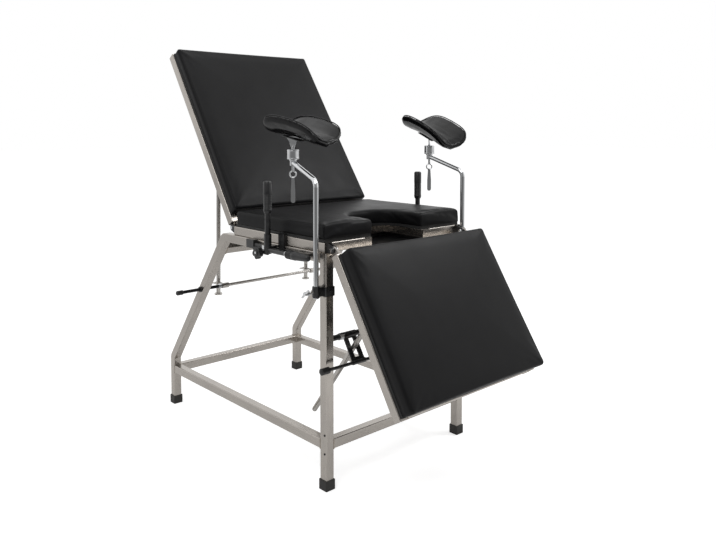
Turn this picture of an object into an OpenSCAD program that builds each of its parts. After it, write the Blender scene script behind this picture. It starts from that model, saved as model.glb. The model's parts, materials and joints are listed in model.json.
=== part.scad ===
// Three-section gynaecological chair: welded tube base, hinged backrest and leg section,
// sliding support struts with tilting lock plates, knee rests on bent posts and side grips.
// X runs across the chair, +Y towards the head end and Z up. Lengths are millimetres.

/* [Base frame] */
// Width of the base over its tubes
base_w = 630; // [560:1:700]
// Length of the base over its tubes
base_l = 964; // [930:1:1000]
// Side of the square base tube
tube = 30; // [27:1:32]
// Wall of every square tube
tube_wall = 1.5; // [1:0.1:2.5]
// Corner radius of every square tube
tube_corner = 3; // [2:0.5:5]
// Height of the top face of the leg frames
rail_top = 718; // [700:1:740]
// Height of the underside of the low rails
low_rail_z = 123; // [110:1:143]
// Height at which the rear legs start to lean forward
lean_z = 185; // [184:1:200]
// Where the leaning legs meet the top rails, measured behind the middle of the base
lean_y = 86; // [80:1:100]
// Bend radius of the rear legs at the tube's centre line
bend_r = 20; // [18:1:40]
// Wall of a foot cap
cap_wall = 3; // [1.5:0.5:4]
// Height of a foot cap
cap_h = 30; // [18:1:40]
// Thickness of a foot cap's sole
cap_sole = 4; // [2:0.5:8]

/* [Seat] */
// How far the seat, backrest and leg section stay inside the base on each side
section_inset = 5; // [0:1:15]
// Length of the seat pad
seat_l = 480; // [470:1:484]
// Foam height of the seat pad with its crown
seat_foam = 51; // [40:1:60]
// Thickness of the boards under the pads
board_t = 9; // [6:1:15]
// How far each board stays inside its pad's outline
board_inset = 4; // [2:1:8]
// Width of the cutout at the front of the seat
cut_w = 220; // [180:1:250]
// Depth of the cutout from the front edge of the seat
cut_l = 170; // [140:1:200]
// Corner radius of the cutout
cut_r = 85; // [40:1:90]

/* [Backrest] */
// Length of the backrest's frame
back_l = 733; // [700:1:745]
// Angle of the backrest above the horizontal
back_angle = 55.7; // [50:0.1:56]
// Foam height of the backrest pad with its crown
back_foam = 38; // [30:1:44]
// Side of the square tube of the two moving sections
section_tube = 30; // [26:1:32]

/* [Leg section] */
// Length of the leg section
leg_l = 490; // [470:1:500]
// Angle of the leg section below the horizontal
leg_angle = 57.9; // [56:0.1:60]
// Foam height of the leg section's pad with its crown
leg_foam = 50; // [42:1:56]

/* [Struts and locks] */
// Distance of each strut from the inner side of the base's tubes
strut_in = 73; // [55:1:95]
// Diameter of the backrest struts
back_strut_d = 16; // [12:1:18]
// Length of a backrest strut below its pivot
back_strut_l = 595; // [570:1:620]
// Diameter of the leg section struts
leg_strut_d = 17; // [14:1:18]
// Length of a leg section strut below its pivot
leg_strut_l = 473; // [450:1:500]
// Diameter of the rear release rod
back_rod_d = 12; // [10:1:14]
// How far the rear release rod sticks out of the base on each side
back_rod_out = 96; // [80:1:105]
// Height of the rear release rod
back_rod_z = 491; // [480:1:500]
// Diameter of the cross tube that carries the front lock plates
lock_tube_d = 17; // [14:1:20]
// Height of that cross tube
lock_tube_z = 455; // [448:1:462]
// Diameter of the front release rod
leg_rod_d = 10; // [8:1:12]
// How far the front release rod sticks out past the base on each side
leg_rod_out = 44; // [30:1:55]
// Distance from the cross tube to the front release rod
leg_rod_reach = 86; // [84:1:92]
// Lean of the front lock plates from the vertical
leg_plate_lean = 32; // [28:1:36]
// Width of a front lock plate
plate_w = 50; // [44:1:60]
// Width of a rear lock plate
back_plate_w = 28; // [26:1:44]
// Thickness of a lock plate
plate_t = 4; // [3:0.5:5]

/* [Knee rests] */
// How far the knee rest posts stand outside the base
post_out = 19; // [16:1:30]
// Diameter of a knee rest post
post_d = 16; // [12:1:17]
// Height of the bend in a knee rest post
post_bend_z = 933; // [900:1:960]
// Height of the clamp on the front leg
clamp_z = 590; // [560:1:640]
// Height of the clamp
clamp_h = 28; // [22:1:36]
// How far each knee joint hub lies inside its post's foot
hub_in = 22; // [14:1:34]
// Height of the middle of the ball in the hub
ball_z = 1010; // [1000:1:1030]
// Diameter of the hub
hub_d = 37; // [34:1:42]
// Height of the hub
hub_h = 30; // [28:1:36]
// Length of a knee pad
knee_l = 226; // [190:1:250]
// Width of a knee pad
knee_w = 175; // [140:1:185]
// Thickness of a knee pad
knee_t = 24; // [18:1:32]
// Slope of the left knee pad down towards the foot end
knee_slope_left = 13; // [8:1:26]
// Slope of the right knee pad down towards the foot end
knee_slope_right = 23; // [8:1:26]
// How far the left knee pad's foot end is turned towards the middle
knee_toe_left = 12; // [0:1:20]
// How far the right knee pad's foot end is turned towards the middle
knee_toe_right = 2; // [0:1:20]
// How far the sides of a knee pad rise over its middle
knee_rise_h = 46; // [30:1:54]
// Length of the lock handle's blade
blade_l = 77; // [65:1:100]

/* [Side grips] */
// How far the grip posts stand outside the base
grip_out = 31; // [27:1:41]
// Diameter of a grip post
grip_post_d = 18; // [14:1:20]
// Height of the top of a grip
grip_top = 921; // [880:1:960]
// Diameter of a grip sleeve
grip_d = 27; // [24:1:34]
// Length of a grip sleeve
grip_l = 102; // [85:1:110]
// Length of the rail that carries a grip
grip_rail_l = 282; // [270:1:290]

/* [Hidden] */
$fn = 48;

// One overrun for every cut
over = 1;
whole_turn = 360;
// Gap between curved faces on different bodies
gap = 0.3;
// Radial clearance of a shaft or pin in its bore
run_gap = 0.05;
steel = "#b9b4ab";
chrome = "#c9cbcf";
dark = "#1b1b1d";
vinyl = "#28282a";

// Base frame
leg_x = (base_w - tube) / 2;
leg_y = (base_l - tube) / 2;
leg_face_x = base_w / 2;
leg_front = -base_l / 2;
top_rail_z = rail_top - tube / 2;
cap_side = tube + 2 * cap_wall;
cross_rail_drop_h = 46;

// Seat, with the front edge set back a little from the front legs
section_w = base_w - 2 * section_inset;
seat_setback = 17;
frame_setback = 12;
seat_front = leg_front + seat_setback;
seat_back = seat_front + seat_l;
frame_front = leg_front + frame_setback;
frame_overhang = 5;
frame_back = seat_back + frame_overhang;
seat_board_z = rail_top + tube;
seat_pad_z = seat_board_z + board_t;
cut_frame_gap = 8;
cut_tube_x = cut_w / 2 + cut_frame_gap + tube / 2;
cut_tube_y = seat_front + cut_l + cut_frame_gap + tube / 2;
tray_wall = 3;
tray_h = 18;
tray_lap = 22;
tray_setback = 4;
pad_corner = 12;
edge_r = 9;
crown = 5;
draw_in = 3;
side_pull = 2;

// Hinges of the two moving sections
back_pin_out = 26;
back_pin_up = 22;
leg_pin_out = 22;
leg_pin_up = 11;
back_pin = [frame_back + back_pin_out, rail_top + back_pin_up];
leg_pin = [frame_front - leg_pin_out, rail_top + leg_pin_up];
back_gap = 12;
back_lift = -5;
back_pad_setback = 24;
back_pad_l = back_l - back_pad_setback;
leg_gap = 23;
leg_lift = -5;
pin_d = 8;
pin_head_d = 13;
pin_head_t = 3;
ear_t = 6;
ear_r = 11;
cheek_t = 4;
cheek_gap = 1;
hinge_x = section_w / 2 - section_tube / 2;

// Struts: pivot places on each section, counted from the hinge pin
strut_x = leg_face_x - tube - strut_in;
back_strut_s = 380;
back_strut_drop_h = 20;
back_strut_play = 3.5;
back_strut_cross = 59.5;
back_brace_s = 200;
leg_strut_s = 204;
leg_strut_drop_h = 16;
leg_strut_play = 18.5;
leg_brace_s = 375;
lug_t = 5;
lug_r = 10;
lug_foot = 22;
lug_gap = 1;
strut_pin_d = 8;
strut_eye_w = 18;
stop_d = 30;
stop_h = 6;
back_guide_reach = 46;
back_rod_l = base_w + 2 * back_rod_out;
leg_rod_l = base_w + 2 * leg_rod_out;
back_cap_d = 17;
back_cap_l = 24;
leg_cap_d = 20;
leg_cap_l = 31;
rod_cap_end = 3;
sleeve_wall = 2;
bush_wall = 2;
bush_flange = 4;
bush_flange_h = 6;
release_play = 13;
spring_wire = 2;
spring_turns = 5;
spring_pitch = 3;
spring_gap = 0.5;
spring_rings = 8;
spring_sides = 6;
lean = atan2(leg_y - lean_y, top_rail_z - lean_z);
back_rod_y = lean_y + (top_rail_z - back_rod_z) * tan(lean);
lock_tube_y = -leg_y;
back_pivot = back_pin + spin([back_strut_s, -back_strut_drop_h], back_angle);
leg_pivot = leg_pin + spin([-leg_strut_s, -leg_strut_drop_h], leg_angle);
back_guide = [back_rod_y + back_guide_reach, back_rod_z];
leg_rod = [lock_tube_y, lock_tube_z] - leg_rod_reach * [sin(leg_plate_lean), cos(leg_plate_lean)];
leg_guide_share = 0.48;
leg_guide = [lock_tube_y, lock_tube_z]
    + leg_guide_share * (leg_rod - [lock_tube_y, lock_tube_z]);
back_strut_lean = heading(back_pivot - back_guide);
leg_strut_lean = heading(leg_pivot - leg_guide);

// Knee rests
post_back = 8;
hub_back = 139;
post_x = leg_face_x + post_out;
post_y = -leg_y + post_back;
band_t = 3;
boss_d = 24;
collar_d = 19;
collar_flange = 22;
collar_flange_t = 3;
post_tail = 6;
post_bend_r = 26;
hub_x = post_x - hub_in;
hub_y = post_y + hub_back;
hub_floor = 8;
hub_bore_d = 26;
socket_d = 20;
socket_h = 20;
ball_d = 18;
bush_h = 17;
neck_d = 9;
neck_plate_t = 4;
neck_top_w = 40;
neck_yaw = 45;
neck_seat_t = 3;
neck_seat_w = 56;
neck_seat_l = 74;
handle_d = 8;
eye_d = 24;
eye_wire = 4.5;
blade_w = 14;
blade_t = 3;
blade_root_w = 9;
eye_drop = 39;
handle_yaw = 45;
ball_rest = 1;
thigh_curl_h = 15;
foot_curl_h = 8;
knee_crown_h = 3;
knee_squareness = 4.6;
knee_lift = 50;
knee_in = 11;
knee_foot = 20;
hub_z = ball_z - hub_floor - ball_d / 2 - ball_rest;
screw_d = 8;
screw_l = 26;
wing_l = 36;
wing_d = 7;
wing_head_d = 12;
wing_head_l = 9;
wing_turn = 50;

// Side grips
grip_back = 251;
rail_back = 70;
strap_back = 217;
rail_drop = 16;
strap_rise = 38;
socket_drop = 28;
grip_x = leg_face_x + grip_out;
grip_y = leg_front + grip_back;
rail_bar_w = 10;
rail_bar_h = 8;
rail_y = leg_front + rail_back;
rail_z = rail_top - rail_drop;
rail_block_w = 18;
rail_block_l = 41;
rail_block_h = 28;
strap_w = 30;
strap_t = 4;
strap_y = leg_front + strap_back;
strap_top = rail_top + strap_rise;
socket_wall = 3;
socket_low = rail_top - socket_drop;
socket_len = 62;
slider_l = 30;
slider_wall = 5;
star_d = 42;
star_t = 14;
star_lobes = 5;
star_lobe_d = 17;
star_y = 33;
star_drop = 9;
star_stem_d = 8;
star_stem_l = 6;
lever_rod_d = 16;
lever_rod_l = 98;
lever_washer_d = 20;
lever_washer_t = 6;
lever_d = 29;
lever_head_l = 45;
lever_tip_d = 18;
lever_grip_l = 60;
sleeve_rib_d = 3;
sleeve_ribs = 6;
sleeve_neck_l = 14;

// Whole-body shift that puts the origin under the middle of the bounding box
reach_back = leg_y + cap_side / 2;
leg_section_t = section_tube + board_t + leg_foam;
leg_edge = leg_pin + spin([edge_r - leg_gap - leg_l, leg_lift + leg_section_t - crown - edge_r],
    leg_angle);
reach_front = leg_edge.x - edge_r;
mid_y = (reach_back + reach_front) / 2;

function unit(v) = v / norm(v);
function heading(v) = atan2(v.y, v.x);
function spin(v, a) = [v.x * cos(a) - v.y * sin(a), v.x * sin(a) + v.y * cos(a)];
function bend_at(path, i) = let (turn = heading(path[i + 1] - path[i]) - heading(path[i] - path[i - 1]))
    turn > whole_turn / 2 ? turn - whole_turn : turn < -whole_turn / 2 ? turn + whole_turn : turn;
function trim_at(path, i, r) = i == 0 || i == len(path) - 1 ? 0 : r * tan(abs(bend_at(path, i)) / 2);

// Frames of reference

module placed() translate([0, -mid_y, 0]) children();

module side(s) {
    if (s > 0) children();
    else mirror([1, 0, 0]) children();
}

module both() for (s = [-1, 1]) side(s) children();

// Draws in the side view: local x is Y, local y is Z, and the height runs along X
module side_view() rotate([90, 0, 90]) children();

module on_backrest() translate([0, back_pin.x, back_pin.y]) rotate([back_angle, 0, 0]) children();

module on_leg_section() translate([0, leg_pin.x, leg_pin.y]) rotate([leg_angle, 0, 0]) children();

// Shared shapes

module rounded_square(s, r) {
    square([s, s - 2 * r], center = true);
    square([s - 2 * r, s], center = true);
    for (x = [-1, 1], y = [-1, 1]) translate([x, y] * (s / 2 - r)) circle(r);
}

module tube_profile(s, swell = 0) {
    bore = s - 2 * tube_wall - swell;
    difference() {
        rounded_square(s + swell, tube_corner);
        rounded_square(bore, tube_corner - tube_wall / 2);
    }
}

// A square tube of side s from the origin along +Z
module tube_along(s, l) linear_extrude(l) tube_profile(s);

module tube_x(s, l) rotate([0, 90, 0]) translate([0, 0, -l / 2]) tube_along(s, l);

module tube_y(s, l) rotate([-90, 0, 0]) tube_along(s, l);

// A tube along +Y with its ends welded shut
module closed_tube_y(s, l) {
    tube_y(s, l);
    for (y = [0, l - tube_wall]) translate([0, y, 0]) rotate([-90, 0, 0])
        linear_extrude(tube_wall) rounded_square(s, tube_corner);
}

module rod_x(d, l) rotate([0, 90, 0]) cylinder(d = d, h = l, center = true);

// A bar bent in a plane along path, with child 0 as the section of its runs and child 1 as
// that of its bends, which swell by a hair so that each run ends inside its bend
module bent_bar(path, r) {
    last = len(path) - 1;
    for (i = [0 : last - 1]) {
        run = path[i + 1] - path[i];
        near = i == 0 ? 0 : trim_at(path, i, r) - gap;
        far = i == last - 1 ? 0 : trim_at(path, i + 1, r) - gap;
        start = path[i] + unit(run) * near;
        translate([start.x, start.y, 0]) rotate([0, 0, heading(run)]) rotate([90, 0, 90])
            linear_extrude(norm(run) - near - far) children(0);
    }
    for (i = [1 : last - 1]) {
        turn = bend_at(path, i);
        way = heading(path[i] - path[i - 1]);
        start = path[i] - trim_at(path, i, r) * [cos(way), sin(way)];
        hand = turn > 0 ? 1 : -1;
        middle = start + hand * r * [-sin(way), cos(way)];
        first = turn > 0 ? way - 90 : way + 90 + turn;
        translate([middle.x, middle.y, 0]) rotate([0, 0, first])
            rotate_extrude(angle = abs(turn)) translate([r, 0]) children(1);
    }
}

// A flat plate in the side view with a round end about the origin and a foot from a to b
module eye_plate(r, a, b, t) {
    middle = unit(a + b);
    across = [-middle.y, middle.x];
    left = a * across > b * across ? a : b;
    right = a * across > b * across ? b : a;
    side_view() linear_extrude(t, center = true) {
        circle(r);
        polygon([across * r, -across * r, right, left]);
    }
}

// Rings of points joined into one closed skin, with flat ends closed by fans
module skin(rings) {
    n = len(rings[0]);
    last = len(rings) - 1;
    points = [for (ring = rings, p = ring) p];
    walls = [for (i = [0 : last - 1], j = [0 : n - 1], half = [0, 1])
        let (a = i * n + j, b = i * n + (j + 1) % n, c = b + n, d = a + n)
        half == 0 ? [a, c, b] : [a, d, c]];
    low = [for (j = [1 : n - 2]) [0, j, j + 1]];
    high = [for (j = [1 : n - 2]) [last * n, last * n + j + 1, last * n + j]];
    polyhedron(points = points, faces = concat(walls, low, high));
}

// Cushions

edge_steps = 3;
corner_steps = 3;
side_steps = 5;
top_steps = 4;

// One loop of a rounded rectangle, drawn in between its corners
function pad_loop(w, l, inset, z) = let (
    r = max(pad_corner - inset, edge_steps),
    cx = w / 2 - inset - r,
    cy = l / 2 - inset - r,
    centres = [[cx, cy], [-cx, cy], [-cx, -cy], [cx, -cy]])
    [for (q = [0 : 3], k = [0 : corner_steps + side_steps - 1])
        let (
            a = q * 90,
            c = centres[q],
            next = centres[(q + 1) % 4],
            share = (k - corner_steps) / side_steps,
            from = c + r * [cos(a + 90), sin(a + 90)],
            to = next + r * [cos(a + 90), sin(a + 90)],
            pull = side_pull * sin(180 * max(share, 0)) * [-cos(a + 90), -sin(a + 90)],
            p = k < corner_steps
                ? c + r * [cos(a + 90 * k / corner_steps), sin(a + 90 * k / corner_steps)]
                : from + (to - from) * share + pull)
        [p.x, p.y, z]];

// Inset and height of each loop of a cushion, from its underside to its crown
function pad_levels(w, l, t) = let (rim = t - crown, far = min(w, l) / 2 - pad_corner)
    concat(
        [[draw_in, 0], [0, rim / 3], [0, rim - edge_r]],
        [for (k = [1 : edge_steps]) let (a = 90 * k / edge_steps)
            [edge_r * (1 - cos(a)), rim - edge_r + edge_r * sin(a)]],
        [for (k = [1 : top_steps]) let (share = k / top_steps)
            [edge_r + (far - edge_r) * share, rim + crown * sin(90 * share)]]);

module cushion(w, l, t) skin([for (level = pad_levels(w, l, t)) pad_loop(w, l, level.x, level.y)]);

// Stations round the horseshoe of the seat pad, from the left lobe's tip to the middle:
// each is [outer point, inner point, share of the full height]
lobe_steps = 3;
fan_side_steps = 3;
fan_steps = fan_side_steps * 2 + corner_steps;

function seat_half() = let (
    rim = seat_foam - crown,
    turn_y = seat_front + cut_l - cut_r,
    outer_x = section_w / 2,
    inner_x = cut_w / 2,
    corner = [-outer_x + pad_corner, seat_back - pad_corner],
    tip = [for (k = [0 : edge_steps])
        let (a = 90 * k / edge_steps, y = seat_front + edge_r * (1 - cos(a)))
        [[-outer_x, y], [-inner_x, y], (rim - edge_r + edge_r * sin(a)) / rim]],
    lobe = [for (k = [1 : lobe_steps])
        let (y = seat_front + edge_r + (turn_y - seat_front - edge_r) * k / lobe_steps)
        [[-outer_x, y], [-inner_x, y], 1]],
    fan = [for (k = [1 : fan_steps]) let (
            a = 180 - 90 * k / fan_steps,
            up = k / fan_side_steps,
            arc = (k - fan_side_steps) / corner_steps,
            back = (k - fan_side_steps - corner_steps) / fan_side_steps,
            inner = [-inner_x + cut_r, turn_y] + cut_r * [cos(a), sin(a)],
            outer = k <= fan_side_steps ? [-outer_x, turn_y + (corner.y - turn_y) * up]
                : k <= fan_side_steps + corner_steps
                    ? corner + pad_corner * [-cos(90 * arc), sin(90 * arc)]
                    : [corner.x + (cut_r - inner_x - corner.x) * back, seat_back])
        [outer, inner, 1]])
    concat(tip, lobe, fan);

// Cross-section of the seat pad from its outer edge to its inner edge
function seat_ring(station) = let (
    rim = seat_foam - crown,
    outer = station[0],
    inner = station[1],
    rise = station[2],
    way = unit(inner - outer),
    width = norm(inner - outer),
    half = concat(
        [[draw_in, 0], [0, rim / 3], [0, rim - edge_r]],
        [for (k = [1 : edge_steps]) let (a = 90 * k / edge_steps)
            [edge_r * (1 - cos(a)), rim - edge_r + edge_r * sin(a)]]),
    top = [for (k = [1 : top_steps - 1]) let (share = k / top_steps)
        [edge_r + (width - 2 * edge_r) * share, rim + crown * sin(180 * share)]],
    section = concat(half, top, [for (i = [len(half) - 1 : -1 : 0]) [width - half[i].x, half[i].y]]))
    [for (p = section) let (at = outer + way * p.x) [at.x, at.y, p.y * rise]];

function flipped(rings) = [for (i = [len(rings) - 1 : -1 : 0]) [for (p = rings[i]) [-p.x, p.y, p.z]]];

// Welded base

// The open top of each front leg is welded shut
module front_leg() color(steel) translate([leg_x, -leg_y, cap_sole]) {
    tube_along(tube, rail_top - cap_sole);
    translate([0, 0, rail_top - cap_sole - tube_wall]) linear_extrude(tube_wall)
        rounded_square(tube, tube_corner);
}

module front_leg_left() side(-1) front_leg();

module front_leg_right() side(1) front_leg();

module rear_leg() {
    path = [[-leg_y + tube / 2, top_rail_z], [lean_y, top_rail_z],
        [leg_y, lean_z], [leg_y, cap_sole]];
    bush_d = back_rod_d + 2 * bush_wall;
    color(steel) difference() {
        translate([leg_x, 0, 0]) side_view() bent_bar(path, bend_r) {
            tube_profile(tube);
            tube_profile(tube, run_gap);
        }
        translate([leg_x, back_rod_y, back_rod_z]) rod_x(bush_d, tube + 2 * over);
    }
}

module rear_leg_left() side(-1) rear_leg();

module rear_leg_right() side(1) rear_leg();

module low_side_rails() color(steel) both()
    translate([leg_x, -leg_y + tube / 2, low_rail_z + tube / 2]) tube_y(tube, 2 * leg_y - tube);

module low_cross_rails() color(steel) for (y = [-leg_y, leg_y])
    translate([0, y, low_rail_z + tube / 2]) tube_x(tube, 2 * leg_x - tube);

// Lies flush with the leaning part of the rear legs
module rear_cross_rail() color(steel)
    translate([0, lean_y + cross_rail_drop_h * tan(lean), top_rail_z - cross_rail_drop_h])
        rotate([lean, 0, 0]) tube_x(tube, 2 * leg_x - tube);

module foot_caps() color(dark) for (x = [-leg_x, leg_x], y = [-leg_y, leg_y]) translate([x, y, 0])
    difference() {
        linear_extrude(cap_h) rounded_square(cap_side, tube_corner);
        translate([0, 0, cap_sole]) linear_extrude(cap_h) rounded_square(tube, tube_corner);
    }

// Seat

module seat_frame() {
    rail_l = frame_back - frame_front;
    inner_w = section_w - 2 * tube;
    lobe_w = (section_w - tube) / 2 - cut_tube_x;
    color(steel) translate([0, 0, rail_top + tube / 2]) {
        both() translate([(section_w - tube) / 2, frame_front, 0]) closed_tube_y(tube, rail_l);
        for (y = [frame_back - tube / 2, cut_tube_y]) translate([0, y, 0]) tube_x(tube, inner_w);
        both() translate([cut_tube_x, frame_front, 0])
            closed_tube_y(tube, cut_tube_y - tube / 2 - frame_front);
        both() translate([cut_tube_x + lobe_w / 2, frame_front + tube / 2, 0])
            tube_x(tube, lobe_w - tube);
    }
}

module cutout_tray() {
    half = cut_tube_x - tube / 2 + tray_lap;
    front = frame_front + tray_setback;
    long = cut_tube_y - tube / 2 + tray_lap - front;
    color(dark) translate([-half, front, rail_top - tray_h]) difference() {
        cube([2 * half, long, tray_h]);
        translate([tray_wall, tray_wall, tray_wall])
            cube([2 * (half - tray_wall), long - 2 * tray_wall, tray_h]);
    }
}

module seat_board() {
    half_w = section_w / 2 - board_inset;
    front = seat_front + board_inset;
    back = seat_back - board_inset;
    slot_w = cut_w + 2 * board_inset;
    slot_r = cut_r + board_inset;
    slot_back = seat_front + cut_l + board_inset;
    color(vinyl) translate([0, 0, seat_board_z]) linear_extrude(board_t) difference() {
        translate([-half_w, front]) square([2 * half_w, back - front]);
        translate([-slot_w / 2, front - over]) square([slot_w, slot_back - slot_r - front + over]);
        translate([-slot_w / 2 + slot_r, front - over])
            square([slot_w - 2 * slot_r, slot_back - front + over]);
        for (s = [-1, 1]) translate([s * (slot_w / 2 - slot_r), slot_back - slot_r]) circle(slot_r);
    }
}

module seat_pad() {
    half = [for (station = seat_half()) seat_ring(station)];
    color(vinyl) translate([0, 0, seat_pad_z]) skin(concat(half, flipped(half)));
}

// Moving sections, drawn flat with the hinge pin at the origin

module section_ring(w, l, s, braces) {
    inner = w - 2 * s;
    both() translate([(w - s) / 2, 0, 0]) closed_tube_y(s, l);
    for (y = concat([s / 2, l - s / 2], braces)) translate([0, y, 0]) tube_x(s, inner);
}

// Ears that carry the pin of a section's hinge; way is +1 or -1 along Y
module section_ears(start, lift, way) both() translate([hinge_x, 0, 0]) difference() {
    eye_plate(ear_r, [way * start, lift], [way * start, lift + section_tube], ear_t);
    rod_x(pin_d + 2 * run_gap, ear_t + 2 * over);
}

// Pairs of lugs that carry a strut's pivot pin under a section's cross tube
module strut_lugs(s, drop, lift, way) {
    pitch = (strut_eye_w + lug_t) / 2 + lug_gap;
    both() for (k = [-1, 1]) translate([strut_x + k * pitch, way * s, -drop]) difference() {
        eye_plate(lug_r, [lug_foot / 2, lift + drop], [-lug_foot / 2, lift + drop], lug_t);
        rod_x(strut_pin_d + 2 * run_gap, lug_t + 2 * over);
    }
}

module back_frame() color(steel) on_backrest() {
    translate([0, back_gap, back_lift + section_tube / 2])
        section_ring(section_w, back_l, section_tube, [back_brace_s - back_gap, back_strut_s - back_gap]);
    section_ears(back_gap, back_lift, 1);
    strut_lugs(back_strut_s, back_strut_drop_h, back_lift, 1);
}

module back_board() color(vinyl) on_backrest()
    translate([-section_w / 2 + board_inset, back_gap + back_pad_setback + board_inset,
        back_lift + section_tube])
        cube([section_w - 2 * board_inset, back_pad_l - 2 * board_inset, board_t]);

module back_pad() color(vinyl) on_backrest()
    translate([0, back_gap + back_pad_setback + back_pad_l / 2, back_lift + section_tube + board_t])
        cushion(section_w, back_pad_l, back_foam);

module leg_frame() color(steel) on_leg_section() {
    translate([0, -leg_gap - leg_l, leg_lift + section_tube / 2])
        section_ring(section_w, leg_l, section_tube,
            [leg_gap + leg_l - leg_strut_s, leg_gap + leg_l - leg_brace_s]);
    section_ears(leg_gap, leg_lift, -1);
    strut_lugs(leg_strut_s, leg_strut_drop_h, leg_lift, -1);
}

module leg_board() color(vinyl) on_leg_section()
    translate([-section_w / 2 + board_inset, -leg_gap - leg_l + board_inset, leg_lift + section_tube])
        cube([section_w - 2 * board_inset, leg_l - 2 * board_inset, board_t]);

module leg_pad() color(vinyl) on_leg_section()
    translate([0, -leg_gap - leg_l / 2, leg_lift + section_tube + board_t])
        cushion(section_w, leg_l, leg_foam);

// Hinge cheeks on the seat frame: face is the frame's end, way points out of it
module hinge_cheeks(pin, face, way) {
    pitch = ear_t / 2 + cheek_gap + cheek_t / 2;
    low = rail_top - pin.y;
    high = rail_top + tube - pin.y;
    near = face - pin.x;
    both() for (k = [-1, 1]) translate([hinge_x + k * pitch, pin.x, pin.y]) difference() {
        eye_plate(ear_r, [near, low], [near, high], cheek_t);
        rod_x(pin_d, cheek_t + 2 * over);
    }
}

module back_hinge_brackets() color(dark) hinge_cheeks(back_pin, frame_back, 1);

module leg_hinge_brackets() color(dark) hinge_cheeks(leg_pin, frame_front, -1);

module hinge_pins() {
    grip = ear_t + 2 * cheek_gap + 2 * cheek_t;
    color(chrome) for (pin = [back_pin, leg_pin]) both() translate([hinge_x, pin.x, pin.y]) {
        rod_x(pin_d, grip + 2 * pin_head_t);
        for (k = [-1, 1]) translate([k * (grip + pin_head_t) / 2, 0, 0]) rod_x(pin_head_d, pin_head_t);
    }
}

// Struts, drawn from the pivot along -Z

module strut_eye(d) {
    rod_x(d, strut_eye_w);
    pin_l = strut_eye_w + 2 * (lug_gap + lug_t + pin_head_t);
    rod_x(strut_pin_d, pin_l);
    for (k = [-1, 1]) translate([k * (pin_l - pin_head_t) / 2, 0, 0]) rod_x(pin_head_d, pin_head_t);
}

module back_strut() color(chrome) translate([strut_x, back_pivot.x, back_pivot.y])
    rotate([back_strut_lean - 90, 0, 0]) {
        strut_eye(back_strut_d);
        translate([0, 0, -back_strut_l]) cylinder(d = back_strut_d, h = back_strut_l);
        translate([0, 0, -back_strut_l]) cylinder(d = stop_d, h = stop_h);
    }

module back_strut_left() side(-1) back_strut();

module back_strut_right() side(1) back_strut();

module leg_strut() color(chrome) translate([strut_x, leg_pivot.x, leg_pivot.y])
    rotate([leg_strut_lean - 90, 0, 0]) {
        strut_eye(leg_strut_d);
        translate([0, 0, -leg_strut_l]) cylinder(d = leg_strut_d, h = leg_strut_l);
        translate([0, 0, -leg_strut_l]) sphere(d = leg_strut_d);
    }

module leg_strut_left() side(-1) leg_strut();

module leg_strut_right() side(1) leg_strut();

// Rear lock: the rod turns in bushes and tips the slotted plates against the struts

module back_release_rod() color(chrome) translate([0, back_rod_y, back_rod_z])
    rod_x(back_rod_d, back_rod_l);

module back_lock_plates() {
    wall = plate_t;
    slot_l = (back_strut_d + 2 * back_strut_play) / sin(back_strut_cross)
        + plate_t / tan(back_strut_cross) + release_play;
    slot_w = back_strut_d + 2 * gap;
    reach = back_guide_reach + slot_l / 2 + wall;
    hub_d = back_rod_d + 2 * wall;
    color(steel) both() translate([strut_x, back_rod_y, back_rod_z]) difference() {
        union() {
            rod_x(hub_d, back_plate_w);
            translate([-back_plate_w / 2, 0, -plate_t / 2]) cube([back_plate_w, reach, plate_t]);
        }
        rod_x(back_rod_d, back_plate_w + 2 * over);
        translate([-slot_w / 2, back_guide_reach - slot_l / 2, -hub_d])
            cube([slot_w, slot_l, 2 * hub_d]);
    }
}

// A cap that starts at the origin and closes over the end of a rod along +X
module rod_cap(rod_d, cap_d, l) rotate([0, 90, 0]) difference() {
    union() {
        cylinder(d = cap_d, h = l - rod_cap_end);
        translate([0, 0, l - rod_cap_end]) cylinder(d1 = cap_d, d2 = rod_d, h = rod_cap_end);
    }
    translate([0, 0, -over]) cylinder(d = rod_d, h = l - rod_cap_end + over);
}

module back_rod_caps() color(dark) both()
    translate([back_rod_l / 2 - back_cap_l + rod_cap_end, back_rod_y, back_rod_z])
        rod_cap(back_rod_d, back_cap_d, back_cap_l);

module rod_bushes() {
    bush_d = back_rod_d + 2 * bush_wall;
    color(dark) both() translate([leg_face_x, back_rod_y, back_rod_z]) rotate([0, 90, 0]) difference() {
        union() {
            translate([0, 0, -tube]) cylinder(d = bush_d, h = tube);
            cylinder(d = bush_d + bush_flange, h = bush_flange_h);
        }
        translate([0, 0, -tube - over])
            cylinder(d = back_rod_d + 2 * run_gap, h = tube + bush_flange_h + 2 * over);
    }
}

// Front lock: plates hang from a fixed cross tube and carry the release rod

module lock_cross_tube() color(steel) translate([0, lock_tube_y, lock_tube_z])
    rod_x(lock_tube_d, 2 * leg_x - tube);

module on_lock_tube() translate([0, lock_tube_y, lock_tube_z]) rotate([-leg_plate_lean, 0, 0]) children();

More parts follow.
